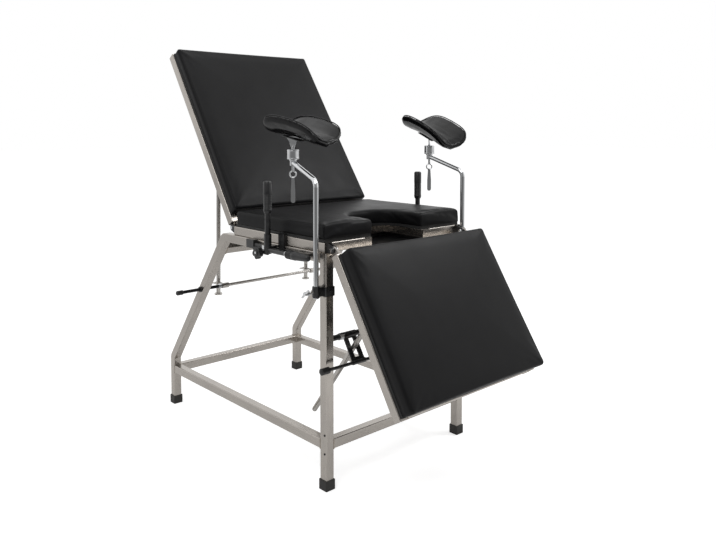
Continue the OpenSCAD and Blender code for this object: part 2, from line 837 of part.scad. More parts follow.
module leg_lock_plates() {
    crossing = leg_strut_lean - 90 + leg_plate_lean;
    slot_l = (leg_strut_d + 2 * leg_strut_play) / sin(crossing) + plate_t / tan(crossing);
    slot_w = leg_strut_d + 2 * gap;
    guide = leg_guide_share * leg_rod_reach;
    sleeve_d = lock_tube_d + 2 * sleeve_wall;
    clip_d = leg_rod_d + 2 * sleeve_wall;
    color(dark) on_lock_tube() both() translate([strut_x, 0, 0]) difference() {
        union() {
            rod_x(sleeve_d, plate_w);
            translate([0, 0, -leg_rod_reach]) rod_x(clip_d, plate_w);
            translate([-plate_w / 2, -plate_t / 2, -leg_rod_reach]) cube([plate_w, plate_t, leg_rod_reach]);
        }
        rod_x(lock_tube_d + 2 * run_gap, plate_w + 2 * over);
        translate([0, 0, -leg_rod_reach]) rod_x(leg_rod_d, plate_w + 2 * over);
        translate([-slot_w / 2, -sleeve_d, -guide - slot_l / 2])
            cube([slot_w, 2 * sleeve_d, slot_l]);
    }
}

module leg_release_rod() color(dark) translate([0, leg_rod.x, leg_rod.y])
    rod_x(leg_rod_d, leg_rod_l);

module leg_rod_caps() color(dark) both()
    translate([leg_rod_l / 2 - leg_cap_l + rod_cap_end, leg_rod.x, leg_rod.y])
        rod_cap(leg_rod_d, leg_cap_d, leg_cap_l);

// A torsion spring coiled about X with straight ends
function coil_points(r, turns, pitch) = let (n = turns * spring_rings)
    [for (i = [0 : n]) let (a = whole_turn * i / spring_rings)
        [pitch * i / spring_rings, r * cos(a), r * sin(a)]];
function wire_ring(p, a, wire_r, along) = [for (k = [0 : spring_sides - 1]) let (
        b = -whole_turn * k / spring_sides,
        out = wire_r * cos(b))
    p + [wire_r * sin(b), out * cos(a) - along * sin(a), out * sin(a) + along * cos(a)]];
module torsion_spring(rod_d) {
    // The straight chords between the coil's points clear the rod by the gap
    r = (rod_d / 2 + spring_gap + spring_wire / 2) / cos(whole_turn / 2 / spring_rings);
    points = coil_points(r, spring_turns, spring_pitch);
    last = len(points) - 1;
    skin([for (i = [-1 : last + 1]) let (k = min(max(i, 0), last))
        wire_ring(points[k], whole_turn * k / spring_rings, spring_wire / 2, (i - k) * spring_wire)]);
}

module lock_springs() {
    clear = spring_wire / 2 + gap;
    color(chrome) both() {
        translate([strut_x + back_plate_w / 2 + clear, back_rod_y, back_rod_z])
            torsion_spring(back_rod_d);
        translate([strut_x + plate_w / 2 + clear, lock_tube_y, lock_tube_z])
            torsion_spring(lock_tube_d);
    }
}

// Knee rests, drawn for the +X side

module clamp_bands() color(dark) both() translate([0, 0, clamp_z]) difference() {
    union() {
        translate([leg_x, -leg_y, 0]) linear_extrude(clamp_h)
            rounded_square(tube + 2 * band_t, tube_corner);
        translate([leg_face_x, post_y - boss_d / 2 + band_t, 0])
            cube([post_x - leg_face_x, boss_d - 2 * band_t, clamp_h]);
        translate([post_x, post_y, 0]) cylinder(d = boss_d, h = clamp_h);
    }
    translate([leg_x, -leg_y, -over]) linear_extrude(clamp_h + 2 * over) rounded_square(tube, tube_corner);
    translate([post_x, post_y, -over]) cylinder(d = collar_d + 2 * run_gap, h = clamp_h + 2 * over);
    translate([post_x + boss_d / 2, post_y, clamp_h / 2]) rod_x(screw_d + 2 * run_gap, boss_d - collar_d);
}

module post_collar() color(dark) translate([post_x, post_y, clamp_z]) difference() {
    union() {
        for (z = [-collar_flange_t - run_gap, clamp_h + run_gap]) translate([0, 0, z])
            cylinder(d = collar_flange, h = collar_flange_t);
        translate([0, 0, -run_gap]) cylinder(d = collar_d, h = clamp_h + 2 * run_gap);
    }
    translate([0, 0, -clamp_h]) cylinder(d = post_d + 2 * run_gap, h = 3 * clamp_h);
}

module post_collar_left() side(-1) post_collar();

module post_collar_right() side(1) post_collar();

module clamp_screw() color(chrome)
    translate([post_x + collar_d / 2 + gap, post_y, clamp_z + clamp_h / 2]) {
    rotate([0, 90, 0]) cylinder(d = screw_d, h = screw_l);
    translate([screw_l, 0, 0]) rotate([0, 90, 0]) cylinder(d = wing_head_d, h = wing_head_l);
    translate([screw_l + wing_head_l / 2, 0, 0]) rotate([wing_turn, 0, 0]) {
        cylinder(d = wing_d, h = wing_l, center = true);
        for (k = [-1, 1]) translate([0, 0, k * wing_l / 2]) sphere(d = wing_d);
    }
}

module clamp_screw_left() side(-1) clamp_screw();

module clamp_screw_right() side(1) clamp_screw();

// The post rises from its clamp, leans back to the hub and carries the hub's cup
module knee_post() {
    foot = [post_x, post_y, clamp_z - post_tail];
    arm = [hub_x - post_x, hub_y - post_y];
    socket_z = hub_z - socket_h;
    path = [[0, foot.z], [0, post_bend_z], [norm(arm), socket_z + socket_h / 2]];
    color(chrome) difference() {
        union() {
            translate([post_x, post_y, 0]) rotate([90, 0, heading(arm)])
                bent_bar(path, post_bend_r) {
                    circle(d = post_d);
                    circle(d = post_d + run_gap);
                }
            translate([hub_x, hub_y, socket_z]) cylinder(d = socket_d, h = socket_h);
            translate([hub_x, hub_y, hub_z]) cylinder(d = hub_d, h = hub_h);
        }
        translate([hub_x, hub_y, hub_z + hub_floor]) cylinder(d = hub_bore_d, h = hub_h);
        translate([hub_x, hub_y, socket_z - over])
            cylinder(d = handle_d + 2 * run_gap, h = socket_h + hub_floor + 2 * over);
    }
}

module knee_post_left() side(-1) knee_post();

module knee_post_right() side(1) knee_post();

module hub_bush() color(chrome) translate([hub_x, hub_y, hub_z + hub_floor]) difference() {
    cylinder(d = hub_bore_d - 2 * run_gap, h = bush_h);
    translate([0, 0, -over]) cylinder(d = ball_d + 2 * run_gap, h = bush_h + 2 * over);
}

module hub_bush_left() side(-1) hub_bush();

module hub_bush_right() side(1) hub_bush();

module on_knee(toe) translate([hub_x, hub_y, ball_z]) rotate([0, 0, -toe]) children();

module on_knee_slope(slope, toe) on_knee(toe) translate([0, 0, knee_lift])
    rotate([slope, 0, 0]) children();

module knee_neck(slope, toe) color(chrome) {
    half = neck_top_w / 2;
    fall = half * sin(neck_yaw) * tan(slope);
    top = knee_lift - neck_seat_t / 2;
    on_knee(toe) {
        sphere(d = ball_d);
        cylinder(d = neck_d, h = ball_d);
        rotate([90, 0, -neck_yaw]) linear_extrude(neck_plate_t, center = true)
            polygon([[-neck_d / 2, ball_d - over], [neck_d / 2, ball_d - over],
                [half, top - fall], [-half, top + fall]]);
    }
    on_knee_slope(slope, toe)
        translate([-(neck_seat_w + knee_in) / 2, -(neck_seat_l + knee_foot) / 2, -neck_seat_t])
            cube([neck_seat_w, neck_seat_l, neck_seat_t]);
}

module knee_neck_left() side(-1) knee_neck(knee_slope_left, knee_toe_left);

module knee_neck_right() side(1) knee_neck(knee_slope_right, knee_toe_right);

// Saddle of a knee pad: u runs to the foot end and v across, both from -1 to 1
function saddle(u, v) = knee_rise_h * v * v - (u > 0 ? foot_curl_h : thigh_curl_h) * u * u;
function blunt(c) = sign(c) * pow(abs(c), 2 / knee_squareness);
knee_round_steps = 32;
knee_level_shares = [[0.12, 0], [0.4, 0], [0.7, 0], [0.93, 0.12], [1, 0.5], [0.93, 0.88],
    [0.7, 1], [0.4, 1], [0.12, 1]];

function knee_ring(level) = [for (k = [0 : knee_round_steps - 1]) let (
        a = whole_turn * k / knee_round_steps,
        v = level.x * blunt(cos(a)),
        u = -level.x * blunt(sin(a)),
        swell = knee_crown_h * (1 - level.x * level.x) * level.y)
    [v * knee_w / 2, -u * knee_l / 2, saddle(u, v) + knee_t * level.y + swell]];

module knee_pad(slope, toe) {
    // The curled thigh end dips, so the pad is lifted until it clears the flat seat under it
    dip = thigh_curl_h * pow((neck_seat_l + knee_foot) / knee_l, 2);
    color(vinyl) on_knee_slope(slope, toe) translate([-knee_in, -knee_foot, dip + gap])
        skin([for (level = knee_level_shares) knee_ring(level)]);
}

module knee_pad_left() side(-1) knee_pad(knee_slope_left, knee_toe_left);

module knee_pad_right() side(1) knee_pad(knee_slope_right, knee_toe_right);

module lock_handle(yaw) {
    top = hub_z + hub_floor - over;
    eye_z = hub_z - socket_h - eye_drop + eye_d / 2;
    blade_z = eye_z - eye_d / 2;
    color(chrome) translate([hub_x, hub_y, 0]) {
        translate([0, 0, eye_z + eye_d / 2 - eye_wire])
            cylinder(d = handle_d, h = top - eye_z - eye_d / 2 + eye_wire);
        translate([0, 0, eye_z]) rotate([90, 0, yaw]) rotate_extrude()
            translate([(eye_d - eye_wire) / 2, 0]) circle(d = eye_wire);
        rotate([90, 0, yaw]) linear_extrude(blade_t, center = true) {
            polygon([[-blade_root_w / 2, blade_z + eye_wire / 2],
                [blade_root_w / 2, blade_z + eye_wire / 2],
                [blade_w / 2, blade_z - blade_l / 2], [blade_w / 2, blade_z - blade_l + blade_w / 2],
                [-blade_w / 2, blade_z - blade_l + blade_w / 2], [-blade_w / 2, blade_z - blade_l / 2]]);
            translate([0, blade_z - blade_l + blade_w / 2]) circle(d = blade_w);
        }
    }
}

module lock_handle_left() side(-1) lock_handle(handle_yaw);

// Both blades face the foot end's left corner
module lock_handle_right() side(1) lock_handle(-handle_yaw);

// Side grips, drawn for the +X side

module grip_rails() {
    bar_x = leg_face_x + strap_t;
    color(dark) both() {
        translate([bar_x, rail_y, rail_z]) cube([rail_bar_w, grip_rail_l, rail_bar_h]);
        translate([leg_face_x, rail_y + grip_rail_l, rail_z + rail_bar_h / 2 - rail_block_h / 2])
            cube([rail_block_w, rail_block_l, rail_block_h]);
        translate([leg_face_x, rail_y, rail_z]) cube([strap_t, strap_w, rail_bar_h]);
        translate([leg_face_x, strap_y - strap_w / 2, rail_z]) cube([strap_t, strap_w, rail_top - rail_z]);
        translate([section_w / 2, strap_y - strap_w / 2, rail_top])
            cube([leg_face_x - section_w / 2 + strap_t, strap_w, strap_top - rail_top]);
    }
}

module grip_socket() {
    outer = grip_post_d + 2 * socket_wall;
    bar_x = leg_face_x + strap_t;
    slide_in = bar_x - gap + strap_t / 2;
    box_h = rail_bar_h + 2 * slider_wall;
    color(dark) difference() {
        union() {
            translate([grip_x, grip_y, socket_low]) cylinder(d = outer, h = socket_len);
            translate([slide_in, grip_y - slider_l / 2, rail_z - slider_wall])
                cube([grip_x - slide_in, slider_l, box_h]);
            translate([grip_x, grip_y, rail_z - star_drop]) rotate([-90, 0, 0])
                cylinder(d = lever_rod_d, h = star_y);
            translate([grip_x, grip_y, rail_z]) rotate([90, 0, 0])
                cylinder(d = lever_rod_d, h = lever_rod_l);
        }
        translate([grip_x, grip_y, socket_low - over])
            cylinder(d = grip_post_d + 2 * run_gap, h = socket_len + 2 * over);
        translate([bar_x - over - strap_t, grip_y - slider_l, rail_z - gap])
            cube([rail_bar_w + over + strap_t + gap, 2 * slider_l, rail_bar_h + 2 * gap]);
    }
}

module grip_socket_left() side(-1) grip_socket();

module grip_socket_right() side(1) grip_socket();

module grip_knob() color(dark)
    translate([grip_x + lever_rod_d / 2 + gap, grip_y + star_y - lever_rod_d / 2, rail_z - star_drop])
    rotate([0, 90, 0]) {
        cylinder(d = star_stem_d, h = star_stem_l);
        translate([0, 0, star_stem_l]) {
            cylinder(d = star_d - star_lobe_d / 2, h = star_t);
            for (k = [0 : star_lobes - 1]) rotate([0, 0, whole_turn * k / star_lobes])
                translate([(star_d - star_lobe_d) / 2, 0, 0]) cylinder(d = star_lobe_d, h = star_t);
        }
    }

module grip_knob_left() side(-1) grip_knob();

module grip_knob_right() side(1) grip_knob();

module grip_lever() color(dark)
    translate([grip_x, grip_y - lever_rod_l - gap, rail_z]) rotate([90, 0, 0]) {
        cylinder(d = lever_washer_d, h = lever_washer_t);
        translate([0, 0, lever_washer_t]) cylinder(d = lever_d, h = lever_head_l);
        translate([0, 0, lever_washer_t + lever_head_l])
            cylinder(d1 = lever_d, d2 = lever_tip_d, h = lever_grip_l);
    }

module grip_lever_left() side(-1) grip_lever();

module grip_lever_right() side(1) grip_lever();

module grip_post() color(dark) translate([grip_x, grip_y, socket_low])
    cylinder(d = grip_post_d, h = grip_top - socket_wall - socket_low);

module grip_post_left() side(-1) grip_post();

module grip_post_right() side(1) grip_post();

module grip_sleeve() {
    low = grip_top - grip_l;
    pitch = sleeve_neck_l / sleeve_ribs;
    color(dark) translate([grip_x, grip_y, 0]) difference() {
        union() {
            translate([0, 0, low + sleeve_neck_l])
                cylinder(d = grip_d, h = grip_l - sleeve_neck_l - sleeve_rib_d);
            translate([0, 0, grip_top - sleeve_rib_d])
                cylinder(d1 = grip_d, d2 = grip_d - 2 * sleeve_rib_d, h = sleeve_rib_d);
            translate([0, 0, low]) cylinder(d1 = grip_d - sleeve_rib_d, d2 = grip_d, h = sleeve_neck_l);
        }
        translate([0, 0, low - over]) cylinder(d = grip_post_d, h = grip_l - socket_wall + over);
        for (k = [1 : sleeve_ribs - 1]) translate([0, 0, low + sleeve_neck_l + k * pitch * 2])
            rotate_extrude() translate([grip_d / 2 + sleeve_rib_d / 4, 0])
                circle(d = sleeve_rib_d / 2 + pitch / 4);
    }
}

module grip_sleeve_left() side(-1) grip_sleeve();

module grip_sleeve_right() side(1) grip_sleeve();

placed() front_leg_left();
placed() front_leg_right();
placed() rear_leg_left();
placed() rear_leg_right();
placed() low_side_rails();
placed() low_cross_rails();
placed() rear_cross_rail();
placed() foot_caps();
placed() seat_frame();
placed() seat_board();
placed() seat_pad();
placed() cutout_tray();
placed() lock_cross_tube();
placed() back_hinge_brackets();
placed() leg_hinge_brackets();
placed() hinge_pins();
placed() clamp_bands();
placed() grip_rails();
placed() rod_bushes();
placed() lock_springs();
placed() back_frame();
placed() back_board();
placed() back_pad();
placed() back_strut_left();
placed() back_strut_right();
placed() leg_frame();
placed() leg_board();
placed() leg_pad();
placed() leg_strut_left();
placed() leg_strut_right();
placed() back_release_rod();
placed() back_lock_plates();
placed() back_rod_caps();
placed() leg_release_rod();
placed() leg_lock_plates();
placed() leg_rod_caps();
placed() post_collar_left();
placed() post_collar_right();
placed() clamp_screw_left();
placed() clamp_screw_right();
placed() knee_post_left();
placed() knee_post_right();
placed() hub_bush_left();
placed() hub_bush_right();
placed() knee_neck_left();
placed() knee_neck_right();
placed() knee_pad_left();
placed() knee_pad_right();
placed() lock_handle_left();
placed() lock_handle_right();
placed() grip_socket_left();
placed() grip_socket_right();
placed() grip_knob_left();
placed() grip_knob_right();
placed() grip_lever_left();
placed() grip_lever_right();
placed() grip_post_left();
placed() grip_post_right();
placed() grip_sleeve_left();
placed() grip_sleeve_right();
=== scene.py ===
"""Visual model of a three-section examination chair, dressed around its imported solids.

The chair has a welded stainless base, black upholstered sections, knee rests on bent
posts and side grips. The frame is in metres, X runs across the chair and +Y to the head
end. Fittings are drawn in millimetres, counted from the middle of the base.
"""

import json
import logging
import math
from dataclasses import dataclass, field
from enum import Enum
from typing import Callable, Iterable, Sequence

import bmesh
import bpy
from mathutils import Matrix, Vector

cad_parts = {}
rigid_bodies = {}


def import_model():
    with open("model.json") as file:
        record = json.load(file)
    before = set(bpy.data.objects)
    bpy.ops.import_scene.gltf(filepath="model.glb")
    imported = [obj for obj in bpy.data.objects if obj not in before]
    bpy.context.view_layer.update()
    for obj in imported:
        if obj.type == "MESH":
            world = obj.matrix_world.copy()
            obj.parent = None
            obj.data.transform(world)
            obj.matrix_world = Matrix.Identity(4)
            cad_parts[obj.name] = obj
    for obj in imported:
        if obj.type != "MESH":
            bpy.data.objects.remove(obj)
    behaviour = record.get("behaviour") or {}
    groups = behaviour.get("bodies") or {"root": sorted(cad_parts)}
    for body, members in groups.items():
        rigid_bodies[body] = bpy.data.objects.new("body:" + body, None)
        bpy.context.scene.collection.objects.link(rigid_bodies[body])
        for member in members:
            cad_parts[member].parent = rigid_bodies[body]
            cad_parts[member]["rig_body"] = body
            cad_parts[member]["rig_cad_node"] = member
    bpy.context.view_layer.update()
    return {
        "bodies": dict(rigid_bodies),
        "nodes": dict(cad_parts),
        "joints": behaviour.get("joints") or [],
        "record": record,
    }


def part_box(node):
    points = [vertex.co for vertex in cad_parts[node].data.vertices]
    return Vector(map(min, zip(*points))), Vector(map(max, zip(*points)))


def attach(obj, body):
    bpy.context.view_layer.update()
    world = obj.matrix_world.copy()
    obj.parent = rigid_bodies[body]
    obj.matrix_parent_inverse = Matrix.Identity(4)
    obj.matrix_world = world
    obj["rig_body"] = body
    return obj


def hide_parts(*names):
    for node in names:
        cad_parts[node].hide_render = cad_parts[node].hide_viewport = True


Pair = tuple[float, float]
Triple = tuple[float, float, float]
Piece = bpy.types.Object
Socket = bpy.types.NodeSocket

LOG = logging.getLogger("chair")
MM = 0.001
ORIGIN = (0.0, 0.0, 0.0)
SIDES = (("left", -1), ("right", 1))
BOTH = (-1, 1)


# Directions and places


class Run(Enum):
    """Direction in which a metal piece was drawn or brushed, as turns about X, Y and Z."""

    ALONG_X = (0.0, 0.0, 0.0)
    ALONG_Y = (0.0, 0.0, -90.0)
    ALONG_Z = (0.0, 90.0, 0.0)
    UP_BACK = (-55.7, 0.0, -90.0)
    DOWN_LEG = (-57.9, 0.0, -90.0)
    DOWN_REAR_LEG = (53.6, 0.0, -90.0)


class Facing(Enum):
    """Which way the axis of a turned piece points."""

    X = (0.0, 90.0, 0.0)
    NEG_X = (0.0, -90.0, 0.0)
    Y = (-90.0, 0.0, 0.0)
    NEG_Y = (90.0, 0.0, 0.0)
    Z = (0.0, 0.0, 0.0)
    NEG_Z = (180.0, 0.0, 0.0)

    def turn(self) -> Matrix:
        """The turn that makes Z face this side."""
        turn = Matrix.Identity(4)
        for angle, axis in zip(self.value, "XYZ"):
            turn = Matrix.Rotation(math.radians(angle), 4, axis) @ turn
        return turn

    @classmethod
    def outward(cls, way: int) -> "Facing":
        """The way out from the middle, for -1 on the left and 1 on the right."""
        return cls.X if way > 0 else cls.NEG_X


@dataclass(frozen=True)
class Plan:
    """The chair's main places in millimetres, counted from the middle of its base."""

    middle: float
    half: float = 300.0
    reach: float = 467.0
    tube: float = 30.0
    low_rail: float = 138.0
    top_rail: float = 703.0
    back_pin: Pair = (46.0, 740.0)
    leg_pin: Pair = (-492.0, 729.0)
    back_angle: float = 55.7
    leg_angle: float = 57.9
    lean: float = 36.335
    post: Pair = (334.0, -459.0)
    band: float = 604.0
    hub: Triple = (312.0, -320.0, 992.0)
    ball: float = 1010.0
    grip: Triple = (346.0, -231.0, 702.0)
    knee_poses: tuple[Pair, Pair] = ((13.0, 12.0), (23.0, 2.0))

    def at(self, x: float, y: float, z: float) -> Vector:
        """A place of the source in the frame's metres."""
        return Vector((x * MM, y * MM + self.middle, z * MM))

    def put(self, x: float, y: float, z: float, facing: Facing = Facing.Z, lean: float = 0.0) -> Matrix:
        """Moves a piece from the origin to a place, with its Z turned to face a side.

        Args:
            x: place across.
            y: place along.
            z: height.
            facing: where its Z goes.
            lean: a last turn about X in degrees.

        Returns:
            The move.
        """
        tilt = Matrix.Rotation(math.radians(lean), 4, "X")
        return Matrix.Translation(self.at(x, y, z)) @ tilt @ facing.turn()


# Materials


class Graph:
    """A short way to build one tree of nodes."""

    def __init__(self, tree: bpy.types.NodeTree) -> None:
        """Starts with an empty tree.

        Args:
            tree: the node tree of a material or of the world.
        """
        self.nodes = tree.nodes
        self.links = tree.links
        self.nodes.clear()

    def add(self, kind: str, **sockets: object) -> bpy.types.Node:
        """Adds a node.

        Args:
            kind: Blender's name of the node.
            sockets: values or output sockets, by input name with _ for a space.

        Returns:
            The node.
        """
        node = self.nodes.new(kind)
        for key, value in sockets.items():
            self.feed(node.inputs[key.replace("_", " ")], value)
        return node

    def feed(self, socket: Socket, value: object) -> None:
        """Links or sets one input.

        Args:
            socket: the input.
            value: an output socket to link, or a plain value.
        """
        if isinstance(value, Socket):
            self.links.new(value, socket)
        else:
            socket.default_value = value

    def wire(self, kind: str, *inputs: object, **settings: object) -> bpy.types.Node:
        """Adds a node and fills its inputs in their order.

        Args:
            kind: Blender's name of the node.
            inputs: values or output sockets.
            settings: the node's own settings.

        Returns:
            The node.
        """
        node = self.nodes.new(kind)
        for key, value in settings.items():
            setattr(node, key, value)
        for socket, value in zip(node.inputs, inputs):
            self.feed(socket, value)
        return node

    def math(self, operation: str, *inputs: object) -> Socket:
        """Does one sum of sockets and numbers, and returns its socket."""
        return self.wire("ShaderNodeMath", *inputs, operation=operation).outputs[0]

    def spread(self, value: Socket, low: float, high: float, start: float = 0.3, end: float = 0.7,
               smooth: bool = False) -> Socket:
        """Remaps a value.

        Args:
            value: the value.
            low: what start becomes.
            high: what end becomes.
            start: the lowest value that counts.
            end: the highest value that counts.
            smooth: whether the ends are eased.

        Returns:
            The new value's socket.
        """
        node = self.add("ShaderNodeMapRange", Value=value)
        if smooth:
            node.interpolation_type = "SMOOTHSTEP"
        for key, number in (("From Min", start), ("From Max", end), ("To Min", low), ("To Max", high)):
            node.inputs[key].default_value = number
        return node.outputs[0]


class Surface(Graph):
    """The nodes of one material on the chair."""

    def __init__(self, name: str) -> None:
        """Starts a material with one shader.

        Args:
            name: the material's name.
        """
        self.material = bpy.data.materials.new(name)
        self.material.use_nodes = True
        super().__init__(self.material.node_tree)
        self.shader = self.add("ShaderNodeBsdfPrincipled")
        self.wire("ShaderNodeOutputMaterial", self.shader.outputs[0])
        self.place = self.add("ShaderNodeTexCoord").outputs["Object"]

    def set(self, **sockets: object) -> None:
        """Sets or links the shader's own inputs by name."""
        for key, value in sockets.items():
            self.feed(self.shader.inputs[key.replace("_", " ")], value)

    def turned(self, turns: Sequence[float]) -> Socket:
        """Turns Object coordinates so that X follows a brushing direction.

        Args:
            turns: degrees about X, Y and Z.

        Returns:
            The turned vector's socket.
        """
        first = self.add("ShaderNodeMapping", Vector=self.place)
        first.inputs["Rotation"].default_value = (math.radians(turns[0]), 0.0, 0.0)
        second = self.add("ShaderNodeMapping", Vector=first.outputs[0])
        second.inputs["Rotation"].default_value = (0.0, math.radians(turns[1]), math.radians(turns[2]))
        return second.outputs[0]

    def stretched(self, source: Socket, scale: Sequence[float]) -> Socket:
        """Scales a vector along each axis, and returns its socket."""
        return self.add("ShaderNodeMapping", Vector=source, Scale=tuple(scale)).outputs[0]

    def noise(self, source: Socket, scale: float, detail: float = 3.0) -> Socket:
        """Makes noise between 0 and 1, and returns its socket."""
        return self.add("ShaderNodeTexNoise", Vector=source, Scale=scale, Detail=detail).outputs[0]

    def blend(self, share: Socket, first: Socket | Triple, second: Triple) -> Socket:
        """Mixes two colours.

        Args:
            share: how much of the second shows.
            first: a colour or its socket.
            second: a colour.

        Returns:
            The mixed colour's socket.
        """
        node = self.add("ShaderNodeMix")
        node.data_type = "RGBA"
        under = first if isinstance(first, Socket) else (*first, 1.0)
        for place, value in zip((0, 6, 7), (share, under, (*second, 1.0))):
            self.feed(node.inputs[place], value)
        return node.outputs[2]

    def sum(self, first: Socket, second: Socket, share: float) -> Socket:
        """Adds a share of the second value to the first, and returns the socket."""
        return self.math("MULTIPLY_ADD", second, share, first)

    def bump(self, height: Socket, depth: float, strength: float = 1.0,
             normal: Socket | None = None) -> Socket:
        """Bumps the normal.

        Args:
            height: heights from 0 to 1.
            depth: real height in metres that 1 stands for.
            strength: share of the bump that shows.
            normal: the normal of a coarser bump under this one.

        Returns:
            The normal's socket.
        """
        node = self.add("ShaderNodeBump", Height=height, Distance=depth, Strength=strength)
        if normal is not None:
            self.feed(node.inputs["Normal"], normal)
        return node.outputs[0]


@dataclass(frozen=True)
class Metal:
    """Bare metal with drawn lines, handling marks, a slight cloud in its colour and, where asked, a painted
    dark reflection along one end.
    """

    name: str
    slot: str
    colour: Triple
    tint: Triple
    rough: Pair
    line_depth: float = 0.00001
    run: Run = Run.ALONG_Z
    ripple: float = 0.0
    # Painted dark reflection: up to this place across, in metres, the colour turns black to stand in for the
    # black pads mirrored in the bar.
    dark_reflection_until: float | None = None
    line_scale: Triple = (3.0, 420.0, 420.0)
    mark_scale: Triple = (22.0, 70.0, 70.0)
    cloud_scale: float = 7.0
    ripple_scale: float = 330.0
    line_gloss: float = 0.02
    # Colour of the painted dark reflection, and the width of its soft edge.
    dark_reflection_colour: Triple = (0.03, 0.03, 0.032)
    fade: float = 0.004

    def make(self) -> bpy.types.Material:
        """Builds the material."""
        graph = Surface(self.name)
        along = graph.turned(self.run.value)
        lines = graph.noise(graph.stretched(along, self.line_scale), 1.0, 4.0)
        cloud = graph.noise(graph.place, self.cloud_scale, 3.0)
        marks = graph.noise(graph.stretched(along, self.mark_scale), 1.0, 5.0)
        base = graph.blend(graph.spread(cloud, 0.0, 1.0), self.colour, self.tint)
        # Painted dark reflection: the colour goes black up to a place across, with a soft edge.
        if self.dark_reflection_until is not None:
            across = graph.add("ShaderNodeSeparateXYZ", Vector=graph.place).outputs[0]
            held = graph.spread(across, 1.0, 0.0, self.dark_reflection_until - self.fade, self.dark_reflection_until + self.fade)
            base = graph.blend(held, base, self.dark_reflection_colour)
        worn = graph.spread(lines, -self.line_gloss, self.line_gloss)
        rough = graph.sum(graph.spread(marks, *self.rough), worn, 1.0)
        graph.set(Metallic=1.0, Base_Color=base, Roughness=rough)
        coarse = None
        if self.ripple:
            coarse = graph.bump(graph.noise(graph.place, self.ripple_scale, 1.0), self.ripple)
        graph.set(Normal=graph.bump(lines, self.line_depth, 1.0, coarse))
        return graph.material


@dataclass(frozen=True)
class Enamel:
    """Black stoved paint over steel, with a fine skin and paler rubbed spots."""

    name: str
    slot: str
    colour: Triple
    rubbed: Triple
    rough: Pair = (0.28, 0.4)
    coat: Pair = (0.25, 0.15)
    spot_scale: float = 40.0
    spots: Pair = (0.45, 0.8)
    skin_scale: float = 900.0
    skin: float = 0.00003

    def make(self) -> bpy.types.Material:
        """Builds the material."""
        graph = Surface(self.name)
        cloud = graph.noise(graph.place, self.spot_scale, 4.0)
        spotted = graph.spread(cloud, 0.0, 1.0, *self.spots)
        graph.set(Base_Color=graph.blend(spotted, self.colour, self.rubbed))
        graph.set(Roughness=graph.spread(cloud, *self.rough))
        graph.set(Coat_Weight=self.coat[0], Coat_Roughness=self.coat[1])
        graph.set(Normal=graph.bump(graph.noise(graph.place, self.skin_scale, 2.0), self.skin, 0.6))
        return graph.material


@dataclass(frozen=True)
class Vinyl:
    """Upholstery vinyl with a pebbled grain, a soft pull over the foam and a low gloss."""

    name: str
    slot: str
    colour: Triple
    sheen: Triple
    rough: Pair
    gloss: float = 0.3
    grain: float = 0.0014
    grain_depth: float = 0.00006
    pull_depth: float = 0.0012
    pull_scale: float = 6.5
    crease_scale: Triple = (14.0, 34.0, 34.0)
    crease_share: float = 0.12
    fine_share: float = 1.6
    cloud_scale: float = 11.0

    def make(self) -> bpy.types.Material:
        """Builds the material."""
        graph = Surface(self.name)
        pebble = graph.add("ShaderNodeTexVoronoi", Vector=graph.place, Scale=1.0 / self.grain)
        pebble.feature = "SMOOTH_F1"
        fine = graph.noise(graph.place, self.fine_share / self.grain, 3.0)
        pull = graph.noise(graph.place, self.pull_scale, 2.0)
        crease = graph.noise(graph.stretched(graph.place, self.crease_scale), 1.0, 2.0)
        cloud = graph.noise(graph.place, self.cloud_scale, 4.0)
        graph.set(Base_Color=graph.blend(graph.spread(cloud, 0.0, 1.0), self.colour, self.sheen))
        graph.set(Roughness=graph.spread(cloud, *self.rough), Specular_IOR_Level=self.gloss)
        wave = graph.bump(graph.sum(pull, crease, self.crease_share), self.pull_depth, 0.7)
        grain = graph.sum(pebble.outputs["Distance"], fine, 0.7)
        graph.set(Normal=graph.bump(grain, self.grain_depth, 0.8, wave))
        return graph.material


@dataclass(frozen=True)
class Moulding:
    """Moulded plastic or rubber with a satin skin."""

    name: str
    slot: str
    colour: Triple
    scuffed: Triple
    rough: Pair
    skin_scale: float = 700.0
    skin: float = 0.00005
    scuff_scale: float = 60.0
    scuffs: Pair = (0.4, 0.8)

    def make(self) -> bpy.types.Material:
        """Builds the material."""
        graph = Surface(self.name)
        cloud = graph.noise(graph.place, self.scuff_scale, 4.0)
        worn = graph.spread(cloud, 0.0, 1.0, *self.scuffs)
        graph.set(Base_Color=graph.blend(worn, self.colour, self.scuffed))
        graph.set(Roughness=graph.spread(cloud, *self.rough))
        graph.set(Normal=graph.bump(graph.noise(graph.place, self.skin_scale, 3.0), self.skin, 0.7))
        return graph.material


@dataclass(frozen=True)
class Covering:
    """Thin black lining cloth stapled over the plywood of a section."""

    name: str
    slot: str
    colour: Triple
    thread: Triple
    rough: Pair = (0.6, 0.8)
    weave: float = 0.0016
    bands: float = 0.32
    raised: Pair = (0.2, 1.8)
    weave_depth: float = 0.00012
    wear_scale: float = 30.0

    def make(self) -> bpy.types.Material:
        """Builds the material."""
        graph = Surface(self.name)
        threads = []
        for turn in (0.0, 90.0):
            along = graph.turned((0.0, 0.0, turn))
            node = graph.add("ShaderNodeTexWave", Vector=along, Scale=self.bands / self.weave, Distortion=0.6,
                             Detail=1.0)
            node.bands_direction = "X"
            threads.append(node.outputs["Fac"])
        weave = graph.sum(threads[0], threads[1], 1.0)
        raised = graph.spread(weave, 0.0, 1.0, *self.raised)
        graph.set(Base_Color=graph.blend(raised, self.colour, self.thread))
        graph.set(Roughness=graph.spread(graph.noise(graph.place, self.wear_scale), *self.rough))
        graph.set(Normal=graph.bump(weave, self.weave_depth, 0.6))
        return graph.material


Finish = Metal | Enamel | Vinyl | Moulding | Covering


